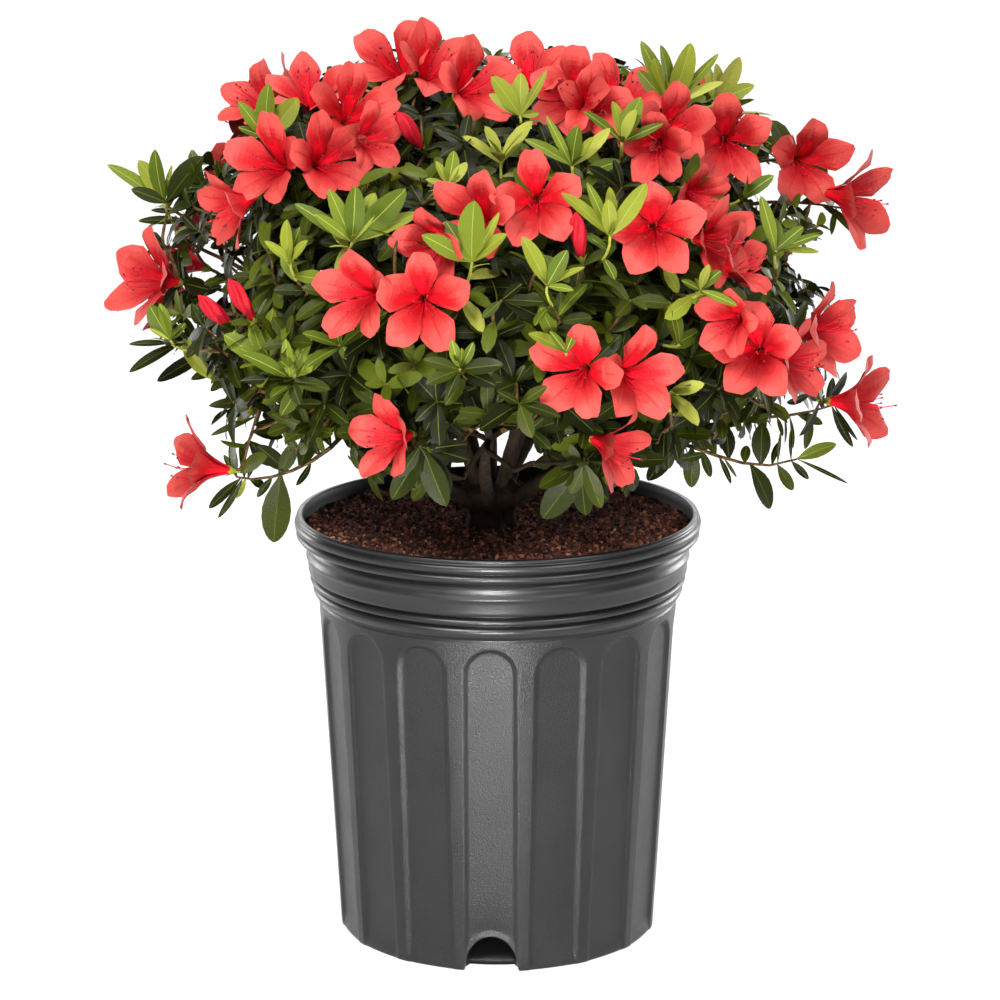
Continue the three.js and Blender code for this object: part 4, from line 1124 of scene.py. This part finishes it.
def grow(boughs, stems, tips):
    """Twigs as in the solids: nearest tips first, each from the point with the shortest way back."""
    centres = np.array([b["centre"] for b in boughs])
    mass_of = [np.argmin(np.sum((centres - tip["at"]) ** 2, 1)) for tip in tips]
    twigs = []
    for m, stem in enumerate(stems):
        end = stem["controls"][3]
        points, along = branchings(stem["controls"], STEM_BRANCHING, STEM_STEP)
        way = [t * stem["length"] for t in STEM_BRANCHING]
        owner = [None] * len(points)
        mine = [tip for tip, mass in zip(tips, mass_of) if mass == m]
        mine.sort(key=lambda t: np.linalg.norm(t["at"] - end))
        for tip in mine:
            distance = np.linalg.norm(np.array(points) - tip["at"], axis=1)
            best = int(np.argmin(distance + BALANCE * np.array(way)))
            twig = make_twig(points[best] - along[best] * TWIG_SUNK, along[best], tip, owner[best])
            places, tangents = branchings(twig["controls"], TWIG_BRANCHING, TWIG_STEP)
            points += places
            along += tangents
            way += [way[best] + twig["length"] * t for t in TWIG_BRANCHING]
            owner += [(twig, t) for t in TWIG_BRANCHING]
            twigs.append(twig)
    return twigs


def pruned(twigs):
    """The twigs that lead to anything, cut at the last branch where their own tip is bare."""
    for twig in twigs:
        twig["used"] = 0 if twig["tip"]["bare"] else 1
    for twig in reversed(twigs):
        if twig["used"] and twig["parent"] is not None:
            parent, t = twig["parent"]
            parent["used"] = max(parent["used"], t)
    for twig in twigs:
        if 0 < twig["used"] < 1:
            # The first half of the curve
            a, b, c, d = twig["controls"]
            twig["controls"] = np.array([a, (a + b) / 2, (a + 2 * b + c) / 4, (a + 3 * b + 3 * c + d) / 8])
    return [twig for twig in twigs if twig["used"]]


def make_twigs(twigs):
    t = np.linspace(0, 1, TWIG_RINGS)
    tips = np.array([w["tips"] for w in twigs], float)
    beyond = np.array([w["beyond"] for w in twigs], float)
    thick = np.minimum(TWIG_TIP * (tips + TWIG_TIPS_ADDED) ** TWIG_GAIN, TWIG_MOST)[:, None]
    thin = np.minimum(TWIG_TIP * beyond**TWIG_GAIN, thick[:, 0])[:, None]
    sprigs = [through([placed(u, v, back) for u, v in line]) for back, line, _ in SPRIGS]
    paths = bezier(np.array([w["controls"] for w in twigs] + sprigs), t)
    sprig_radii = np.tile(between(SPRIG_RADII, t), (len(sprigs), 1))
    radii = np.concatenate([between((thick, thin), t**TWIG_TAPER), sprig_radii])
    verts, quads, caps = tubes(paths, radii, TWIG_SIDES)
    young = np.array([w["tip"]["young"] and w["tips"] == 1 for w in twigs] + [False] * len(sprigs))
    green = young[:, None] & (np.arange(TWIG_RINGS - 1) >= YOUNG_STEM * (TWIG_RINGS - 1))
    # Painted shade: the twigs low round the trunk get the dark brown.
    shaded_wood = (paths[:, :-1, 2] < SHADED_TWIG_TOP) & (np.abs(paths[:, :-1, 0]) < SHADED_TWIG_HALF)
    wood = np.repeat(np.where(green, 1, np.where(shaded_wood, 2, 0)).ravel(), TWIG_SIDES)
    add_crown_piece("crown_twigs", verts, [(quads, wood), (caps, 0)], twig_materials(), "bark")


# Bark


def trunk_rings():
    angle = even_angles(TRUNK_SIDES)
    rings = []
    for step, (height, radius) in enumerate(TRUNK_RINGS):
        fade = (1 - step / (len(TRUNK_RINGS) - 1)) ** 2
        reach = radius * (1 + FLARE_DEPTH * np.cos(FLARE_ROOTS * angle + 1) * fade)
        rings.append(ring(reach, angle, height) * (TRUNK_WIDENING, 1, 1) + TRUNK_BASE)
    return np.array(rings)


def fuse(piece):
    """Makes one skin of the tubes that a mesh holds."""
    remesh = piece.modifiers.new("fuse", "REMESH")
    remesh.mode = "VOXEL"
    remesh.voxel_size = BARK_VOXEL * MM
    remesh.use_smooth_shade = True
    depsgraph = bpy.context.evaluated_depsgraph_get()
    fused = bpy.data.meshes.new_from_object(piece.evaluated_get(depsgraph))
    piece.modifiers.clear()
    piece.data = fused


def add_furrows(mesh):
    """Moves the skin in and out along its normals, most at the trunk's foot."""
    count = len(mesh.vertices)
    co = np.empty(count * 3, np.float32)
    mesh.vertices.foreach_get("co", co)
    co = co.reshape(-1, 3).astype(float) / MM
    normals = np.empty(count * 3, np.float32)
    mesh.vertices.foreach_get("normal", normals)
    squeezed = co * BARK_SQUEEZE
    relief = sum(fractal(squeezed + shift, size, octaves) * depth
                 for shift, size, octaves, depth in BARK_RELIEF)
    least, most = BARK_RELIEF_SHARES
    share = np.clip(most - (co[:, 2] - TRUNK_BASE[2]) / BARK_RELIEF_FADE, least, most)
    co += normals.reshape(-1, 3) * (relief * share)[:, None]
    mesh.vertices.foreach_set("co", (co * MM).astype(np.float32).ravel())
    mesh.polygons.foreach_set("use_smooth", np.full(len(mesh.polygons), True))
    mesh.update()


def make_bark(boughs, stems):
    """Trunk, boughs and stems fused into one skin, with furrows along them."""
    rings = trunk_rings()
    steps = np.linspace(0, 1, BOUGH_RINGS)
    limbs = boughs + stems
    paths = bezier(np.array([limb["controls"] for limb in limbs]), steps)
    paths[: len(boughs), 0] -= unit(paths[: len(boughs), 1] - paths[: len(boughs), 0]) * BOUGH_SUNK
    thick, thin = (np.array([limb[key] for limb in limbs])[:, None] for key in ("thick", "thin"))
    tube_verts, quads, caps = tubes(paths, between((thick, thin), steps), BOUGH_SIDES)
    base = rings.size // 3
    verts = np.concatenate([rings.reshape(-1, 3), tube_verts])
    groups = [(grid_faces(len(rings), TRUNK_SIDES), 0), (lid_faces(len(rings), TRUNK_SIDES), 0),
              (quads + base, 0), (caps + base, 0)]
    piece = mesh_object("bark_skin", verts, groups, [bark_material()])
    fuse(piece)
    add_furrows(piece.data)
    finish_piece(piece, "bark", "trunk", *[f"bough_{b['name']}" for b in boughs])


# Leaves


def whorl_leaves(tip, turn):
    """The leaves round a tip, from the innermost out."""
    kind, seed = CARRIED[tip["kind"]], tip["seed"]
    count = kind["count"] + (chance(seed, 6) > 0.5)
    leaves = []
    for k in range(count):
        share = k / (count - 1)
        leaves.append({
            "root": tip["at"] - tip["axis"] * WHORL_LENGTH * share,
            "axis": tip["axis"],
            "normal": unit(np.cross(tip["axis"], BESIDE_UP)),
            "around": turn + GOLDEN_TURN * k + TURN_RANGE * (chance(seed, 120 + k) - 0.5),
            "lean": between(kind["open"], share) + LEAN_RANGE * (chance(seed, 100 + k) - 0.5),
            "length": between(kind["length"], share) * between(LEAF_LENGTH_SHARES, chance(seed, 140 + k)),
            "width": kind["width"],
            "bend": kind["bend"] * between(LEAF_BEND_SHARES, chance(seed, 160 + k)),
        })
    return leaves


def twig_leaves(twig, turn):
    """The few leaves along a twig, from its tip back."""
    seed = twig["tip"]["seed"]
    leaves = []
    for k in range(TWIG_LEAVES):
        back = TWIG_LEAF_STEP * (k + 1) + TWIG_LEAF_FIRST
        if back > TWIG_LEAF_SPAN * twig["length"]:
            break
        t = 1 - back / twig["length"]
        root, after = bezier(twig["controls"], [t, t + TWIG_STEP])
        along = unit(after - root)
        leaves.append({
            "root": root, "axis": along, "normal": unit(np.cross(along, BESIDE_UP)),
            "around": turn + GOLDEN_TURN * (k + 9), "lean": between(TWIG_LEAF_OPEN, chance(seed, 200 + k)),
            "length": between(TWIG_LEAF_LENGTH, chance(seed, 220 + k)),
            "width": TWIG_LEAF_WIDTH, "bend": TWIG_LEAF_BEND,
        })
    return leaves


def grown_leaves(twigs):
    leaves = []
    for twig in twigs:
        tip = twig["tip"]
        turn = 360 * chance(tip["seed"], 77)
        # Leaves deeper in the crown get darker blades: painted shade.
        lightness = rise(crown_share(tip["at"]), *SHADE_DEPTHS)
        shade = chance(tip["seed"], 5) * between((SHADE_FLOOR, 1), lightness)
        for leaf in whorl_leaves(tip, turn) + twig_leaves(twig, turn):
            leaves.append({**leaf, "tip": tip, "young": tip["young"], "shade": shade})
    return leaves


def leaf_between(root, end, width, young, k):
    """A leaf whose upper face looks up and towards the camera."""
    along = unit(end - root)
    facing = unit(UP * PLACED_FACING_UP + heading(-90 + 90 * (chance(k, 62) - 0.5), 0))
    facing = unit(facing - along * np.dot(facing, along))
    # Higher leaves get lighter blades: painted light.
    shade = between((chance(k, 63), rise(root[2], *PLACED_LIGHT_LEVELS)), PLACED_LIGHT_SHARE)
    return {"root": root, "axis": facing, "normal": along, "around": 0, "lean": 90,
            "length": np.linalg.norm(end - root) * PLACED_LENGTH_SHARE, "width": width,
            "bend": between(PLACED_BENDS, chance(k, 64)), "young": young, "shade": shade}


def placed_leaves(tips):
    """The leaves that the lists give one by one, on sprigs and on posed shoots."""
    leaves = []
    for back, line, on_it in SPRIGS:
        curve = bezier(through([placed(u, v, back) for u, v in line]), np.linspace(0, 1, SPRIG_STEPS))
        for root_u, root_v, tip_u, tip_v, width in on_it:
            k = len(leaves)
            root = curve[np.argmin(np.linalg.norm(curve - placed(root_u, root_v, back), axis=1))]
            end = placed(tip_u, tip_v, back + between(SPRIG_LEAF_DEPTHS, chance(k, 61)))
            leaves.append(leaf_between(root, end, width, width == PLACED_YOUNG_WIDTH, k))
    for tip in tips:
        for u, v, width in tip.get("leaf_tips", []):
            k = len(leaves)
            end = placed(u, v, tip["at"][1] + between(POSED_LEAF_DEPTHS, chance(k, 61)))
            leaves.append(leaf_between(tip["at"], end, width, tip["young"], k))
    return leaves


def is_clear(points, blossoms):
    """Whether points keep off the pot, the sky, the trunk's window and the blossoms, inside the crown."""
    u, v = pixels_of(points)
    left, right, top, bottom = TRUNK_WINDOW
    over_pot = np.hypot(points[:, 0], points[:, 1]) < KEEP_OUTSIDE_POT
    clear = ~((points[:, 2] < KEEP_ABOVE_POT) & over_pot)
    clear &= (crown_share(points) < CROWN_LIMIT) & ~is_sky(points)
    clear &= ~((u > left) & (u < right) & (v > top) & (v < bottom))
    for b in blossoms:
        d = points - b["at"]
        high = d @ b["axis"] / b["size"]
        wide = np.linalg.norm(d - np.outer(high * b["size"], b["axis"]), axis=1) / b["size"]
        lowest, highest, radius, widening = CLEAR_CONE
        clear &= ~((high > lowest) & (high < highest) & (wide < radius + widening * high))
        lowest, highest, radius = CLEAR_SHAFT
        clear &= ~((high >= lowest) & (high < highest) & (wide < radius))
    return clear


def build_leaves(leaves, blossoms, outline):
    """Every leaf's points, blade faces and rib faces, and whether it is kept."""
    values = {key: np.array([leaf[key] for leaf in leaves]) for key in leaves[0] if key != "tip"}
    root, axis, normal, length = (values[key] for key in ("root", "axis", "normal", "length"))
    around, lean = (np.radians(values[key])[:, None] for key in ("around", "lean"))
    width = length * values["width"]
    bend = np.radians(values["bend"])
    out = normal * np.cos(around) + np.cross(axis, normal) * np.sin(around)
    along = unit(axis * np.cos(lean) + out * np.sin(lean))
    side = unit(np.cross(along, axis * np.sin(lean) - out * np.cos(lean)))
    top = np.cross(side, along)
    top *= np.sign(np.sum(top * (axis + LEAF_UPWARD * UP), 1, keepdims=True) + 1e-9)
    side = np.cross(along, top)

    def at(t):
        """The middle line, bent away from the leaf's upper face."""
        a = bend * t
        forward = length * np.sin(a) / bend
        drop = -length * (1 - np.cos(a)) / bend
        return root + along * forward[:, None] + top * drop[:, None]

    fold = math.tan(math.radians(LEAF_FOLD))
    rib_share = np.minimum(RIB_HALF / (width / 2), RIB_MOST)
    rows = []
    for t, w in outline:
        a = bend * t
        lift = top * np.cos(a)[:, None] + along * np.sin(a)[:, None]
        half = (width / 2 * w)[:, None]
        rib_half = (rib_share * width / 2 * min(1.0, w / RIB_TAPER))[:, None]
        for x in (-half, -rib_half, rib_half, half):
            rows.append(at(t) + side * x + lift * np.abs(x) * fold)
    rows.append(at(1.0))
    point = len(rows) - 1
    last = point - 4
    starts = [(4 * s + c, c == 1) for s in range(len(outline) - 1) for c in range(3)]
    blade = [(a, a + 1, a + 5, a + 4) for a, is_rib in starts if not is_rib]
    rib = [(a, a + 1, a + 5, a + 4) for a, is_rib in starts if is_rib]
    ends = [(last, last + 1, point), (last + 2, last + 3, point)]
    keep = np.all([is_clear(at(t), blossoms) for t in LEAF_CHECKS], 0)
    return {"verts": np.stack(rows, 1), "keep": keep, "young": values["young"], "shade": values["shade"],
            "front": root[:, 1] < 0, "blade": [np.array(blade), np.array(ends)],
            "rib": [np.array(rib), np.array([(last + 1, last + 2, point)])]}


def leaf_piece(name, made, chosen, kind):
    verts = made["verts"][chosen]
    count, size = verts.shape[:2]
    blades = kind["blades"]
    shade = np.minimum((made["shade"][chosen] * len(blades)).astype(int), len(blades) - 1)
    groups = []
    for faces in made["blade"]:
        groups.append((copies(faces, count, size), np.repeat(shade, len(faces))))
    for faces in made["rib"]:
        groups.append((copies(faces, count, size), len(blades)))
    materials = []
    for k, rgb in enumerate(blades):
        materials.append(leaf_material(f"{name}_blade_{k + 1}", rgb, kind["roughness"]))
    materials.append(leaf_material(f"{name}_rib", kind["rib"], 0.5))
    add_crown_piece(name, verts, groups, materials, "foliage")


def make_leaves(tips, twigs, blossoms):
    """All leaves. Tips on which too few are left are marked as bare."""
    leaves = grown_leaves(twigs)
    made = build_leaves(leaves, blossoms, LEAF_OUTLINE)
    for tip in tips:
        tip["leaves"] = 0
    for leaf, kept in zip(leaves, made["keep"]):
        leaf["tip"]["leaves"] += int(kept)
    for twig in twigs:
        tip = twig["tip"]
        crosses_sky = is_sky(bezier(twig["controls"], SKY_CHECKS)).sum() > 1
        tip["bare"] = tip["kind"] in ("whorl", "shoot") and (crosses_sky or tip["leaves"] < FEWEST_LEAVES)
    grown = made["keep"] & ~np.array([leaf["tip"]["bare"] for leaf in leaves])
    young, front = made["young"], made["front"]
    leaf_piece("leaves_front", made, grown & ~young & front, MATURE)
    leaf_piece("leaves_back", made, grown & ~young & ~front, MATURE)
    leaf_piece("leaves_young", made, grown & young, YOUNG)
    made = build_leaves(placed_leaves(tips), [], PLACED_OUTLINE)
    leaf_piece("leaves_placed", made, ~made["young"], MATURE)
    leaf_piece("leaves_placed_young", made, made["young"], YOUNG)


# Blossoms


def in_flower(tip, x, y, z, size=1):
    """Points of a flower's own frame, z along its axis from the calyx, in the scene's frame."""
    axis = tip["axis"]
    right = unit(np.cross(UP, axis))
    roll = ROLL_RANGE * (chance(tip["seed"], 51) - 0.5)
    above = turned_about(np.cross(axis, right), axis, roll)
    right = turned_about(right, axis, roll)
    return tip["at"] + (x[..., None] * right + y[..., None] * above + z[..., None] * axis) * size


def petal_points(seed, petal):
    """A petal's x, y and z in rows from the calyx to the edge, and each point's share along and across."""
    v = np.array(PETAL_ACROSS, float)[None]
    blunt = between(PETAL_BLUNTNESS, chance(seed, 11 + petal))
    outline = np.clip(1 - np.abs(v) ** blunt, 0, 1) ** 0.5
    wave, turns = PETAL_EDGE_WAVE
    outline = outline * (1 + wave * np.sin(turns * v + PETAL_EDGE_SHIFT * chance(seed, 25 + petal)))
    s = np.linspace(0, 1, PETAL_ROWS + 1)[:, None] * between((PETAL_PARTS, 1), outline)
    line = np.array([(radius, 0, height) for radius, height in PETAL_LINE])
    middle = bezier(line, s.ravel()).reshape(s.shape + (3,))
    radius = middle[..., 0] * between(PETAL_OPENNESS, chance(seed, 20 + petal))
    height = middle[..., 2] * between(PETAL_HEIGHTS, chance(seed, 30 + petal))
    parting = rise(s, PETAL_PARTS, PETAL_FREE)
    # Half the width: a tenth of the tube's round up to the parting, and then wider
    half = PETAL_HALF * between(PETAL_WIDTHS, chance(seed, 55 + petal))
    at_parting = bezier(line, [PETAL_PARTS])[0][0] * math.pi / PETALS
    free_half = between((at_parting, half), rise(s, PETAL_PARTS, PETAL_WIDE))
    across = v * np.where(s < PETAL_PARTS, radius * math.pi / PETALS, free_half)
    around = across / np.maximum(radius, 1)
    x = between((radius * np.cos(around), radius - PETAL_ARCH * across * across), parting)
    y = between((radius * np.sin(around), across), parting)
    # Ruffled edges, a bent tip, sides bent back and a crease in the middle
    phase = 2 * math.pi * chance(seed, 40 + petal)
    wave, turns = PETAL_RUFFLE
    ruffle = wave * np.sin(PETAL_RUFFLE_ALONG * s + turns * v + phase)
    ruffle = ruffle * np.abs(v) ** PETAL_RUFFLE_POWER * parting
    wave, turns = PETAL_TIP_WAVE
    ruffle = ruffle + wave * np.sin(turns * v + phase) * rise(s, PETAL_TIP_WAVE_FROM)
    back = PETAL_SIDES_BACK * v * v + PETAL_CREASE * np.exp(-((v / PETAL_CREASE_HALF) ** 2))
    tip_back = PETAL_TIP_BACK * rise(s, PETAL_TIP_BACK_FROM) ** 2
    tip_back = tip_back * (chance(seed, 60 + petal) - PETAL_TIP_FORWARD)
    return x, y, height + ruffle + (PETAL_SKEW * v - back) * parting - tip_back, s, v * np.ones_like(s)


def petal_shades(s, v, seed, petal):
    """A shade for each face, from the throat's to the edge's. The upper petals are flushed deeper."""
    s = (s[1:, 1:] + s[:-1, :-1]) / 2
    v = (v[1:, 1:] + v[:-1, :-1]) / 2
    lines = np.cos(STREAK_TURNS * v + STREAK_SHIFT * chance(seed, petal))
    streaks = STREAK * (lines + chance(seed, 70 + petal) - 0.5)
    flush = TOP_FLUSH if petal == 0 else 0.0
    if petal in FLUSHED_SIDES:
        flush = SIDE_FLUSH * smooth(0.5 - FLUSHED_SIDES[petal] * v)
    flush = flush * (1 - v * v) * (1 - rise(s + FLUSH_STREAKS * streaks, *FLUSH_FADE))
    level = s + streaks - flush - MIDLINE_DEEPENING * (np.abs(v) < MIDLINE_HALF)
    level = level + SHADE_JITTER * (rng.random(s.shape) - 0.5)
    return np.searchsorted(SHADE_LEVELS, level.ravel())


def make_petals(blossoms):
    verts, shades = [], []
    for tip in blossoms:
        for petal in range(PETALS):
            x, y, z, s, v = petal_points(tip["seed"], petal)
            swing = PETAL_TURN_RANGE * (chance(tip["seed"], 45 + petal) - 0.5)
            turn = math.radians(PETAL_TURNS[petal] + swing)
            cos, sin = math.cos(turn), math.sin(turn)
            verts.append(in_flower(tip, x * cos - y * sin, x * sin + y * cos, z, tip["size"]))
            shades.append(petal_shades(s, v, tip["seed"], petal))
    faces = grid_faces(PETAL_ROWS + 1, len(PETAL_ACROSS), False, len(verts))
    materials = [petal_material(f"petal_{k + 1}", rgb) for k, rgb in enumerate(PETAL_SHADES)]
    add_crown_piece("blossom_petals", verts, [(faces, np.concatenate(shades))], materials)


def make_stamens(blossoms):
    """Threads with an anther at the end of each. The last in a flower is its style, longer and thicker."""
    controls, radii = [], []
    for tip in blossoms:
        seed = tip["seed"]
        for k in range(STAMENS + 1):
            is_style = k == STAMENS
            turn = 2 * math.pi * (k + 0.5 * chance(seed, 80 + k)) / STAMENS
            wide = STYLE_SPREAD if is_style else between(STAMEN_SPREADS, chance(seed, 90 + k))
            high = STYLE_HEIGHT if is_style else between(STAMEN_HEIGHTS, chance(seed, 95 + k))
            out, up = THREAD_FOOT
            foot = np.array([out * math.cos(turn), out * math.sin(turn), up])
            end = np.array([wide * math.cos(turn), wide * math.sin(turn) - THREAD_SAG, high])
            line = np.array([foot, foot + THREAD_HANDLES[0], end + THREAD_HANDLES[1], end])
            controls.append(in_flower(tip, *line.T, tip["size"]))
            radii.append([STYLE_RADIUS if is_style else STAMEN_RADIUS] * THREAD_RINGS)
    controls = np.array(controls)
    paths = bezier(controls, np.linspace(0, 1, THREAD_RINGS))
    verts, quads, caps = tubes(paths, np.array(radii), THREAD_SIDES)
    threads = petal_material("stamen_threads", (190, 24, 40))
    add_crown_piece("blossom_stamens", verts, [(quads, 0), (caps, 0)], [threads])
    make_anthers(controls[:, 3], unit(controls[:, 3] - controls[:, 2]))


def make_anthers(at, way):
    ball, faces = icosahedron()
    across = unit(np.cross(way, UP + np.array([0.1, 0.2, 0])))
    other = np.cross(way, across)
    half, long = ANTHER_HALVES
    blobs = (ball[None, :, :1] * across[:, None] + ball[None, :, 1:2] * other[:, None]) * half
    blobs = blobs + ball[None, :, 2:] * way[:, None] * long + at[:, None]
    dark = petal_material("stamen_anthers", (104, 30, 40))
    add_crown_piece("blossom_anthers", blobs, [(copies(faces, len(at), len(ball)), 0)], [dark])


def make_buds(buds):
    """Closed flowers: five petals rolled round each other in a twisted spindle."""
    s = np.linspace(0, 1, BUD_ROWS)[:, None]
    angle = np.linspace(0, 2 * math.pi, BUD_COLUMNS, endpoint=False)[None]
    radius = BUD_THIN + BUD_SWELL * np.sin(math.pi * s**BUD_HIGH) ** BUD_FULLNESS * (s < 1)
    radius = radius * (1 + BUD_PLEATS * np.cos(PETALS * angle)) * (1 - BUD_POINT * rise(s, BUD_POINT_FROM))
    x, y, z = np.moveaxis(ring(radius, angle + BUD_TWIST * s, BUD_FOOT + BUD_LENGTH * s), -1, 0)
    verts = [in_flower(tip, x, y, z) for tip in buds]
    faces = grid_faces(BUD_ROWS, BUD_COLUMNS, count=len(buds))
    add_crown_piece("blossom_buds", verts, [(faces, 0)], [petal_material("bud_red", (152, 12, 27))])


def make_calyxes(flowers):
    """A small green cup with five points under every flower."""
    heights, radii = np.array(CALYX_ROWS).T[:, :, None] * np.ones(CALYX_COLUMNS)
    is_point = np.arange(CALYX_COLUMNS) % 2 == 0
    radii[-1] *= np.where(is_point, *CALYX_FLARES)
    heights[-1] -= np.where(is_point, 0, CALYX_DIP)
    x, y, z = np.moveaxis(ring(radii, even_angles(CALYX_COLUMNS), heights), -1, 0)
    verts = [in_flower(tip, x, y, z) for tip in flowers]
    faces = grid_faces(len(CALYX_ROWS), CALYX_COLUMNS, count=len(flowers))
    green = leaf_material("calyx_green", (116, 128, 44), 0.5)
    add_crown_piece("blossom_calyxes", verts, [(faces, 0)], [green])


# Stage


def make_floor():
    corners = np.array([(-1, -1, 0), (1, -1, 0), (1, 1, 0), (-1, 1, 0)], float) * FLOOR_HALF
    white = new_material("floor_white", (125, 125, 125), 0.9, 0.1)
    shader = white.node_tree.nodes["Principled BSDF"]
    shader.inputs["Emission Color"].default_value = (1, 1, 1, 1)
    shader.inputs["Emission Strength"].default_value = FLOOR_GLOW
    mesh_object("floor", corners - UP * FLOOR_BELOW, [(np.array([(0, 1, 2, 3)]), 0)], [white])


def make_light():
    world = bpy.data.worlds.new("studio")
    world.use_nodes = True
    world.node_tree.nodes["Background"].inputs["Color"].default_value = (1, 1, 1, 1)
    world.node_tree.nodes["Background"].inputs["Strength"].default_value = WORLD_STRENGTH
    bpy.context.scene.world = world
    for name, (place, target, width, height, power) in LAMPS.items():
        data = bpy.data.lights.new(name, "AREA")
        data.shape = "RECTANGLE"
        data.size = width * MM
        data.size_y = height * MM
        data.energy = power
        lamp = bpy.data.objects.new(name, data)
        lamp.location = Vector(place) * MM
        lamp.rotation_euler = (Vector(target) - Vector(place)).to_track_quat("-Z", "Y").to_euler()
        lamp.visible_camera = False
        bpy.context.scene.collection.objects.link(lamp)
    bpy.context.scene.view_settings.view_transform = "Standard"


boughs = make_boughs()
stems = [make_stem(bough) for bough in boughs]
FOLIAGE_NODES = [f"foliage_{b['name']}" for b in boughs]
make_camera()
make_floor()
make_light()
make_pot()
make_mix_ground()
make_mix_crumbs()
make_bark(boughs, stems)

tips = []
add_seen_flowers(tips)
add_back_blossoms(tips)
add_shoots(tips)
add_whorls(tips)
twigs = grow(boughs, stems, tips)
blossoms = [tip for tip in tips if tip["kind"] == "blossom"]
buds = [tip for tip in tips if tip["kind"] == "bud"]
make_leaves(tips, twigs, blossoms)
make_twigs(pruned(twigs))
make_petals(blossoms)
make_stamens(blossoms)
make_buds(buds)
make_calyxes(blossoms + buds)
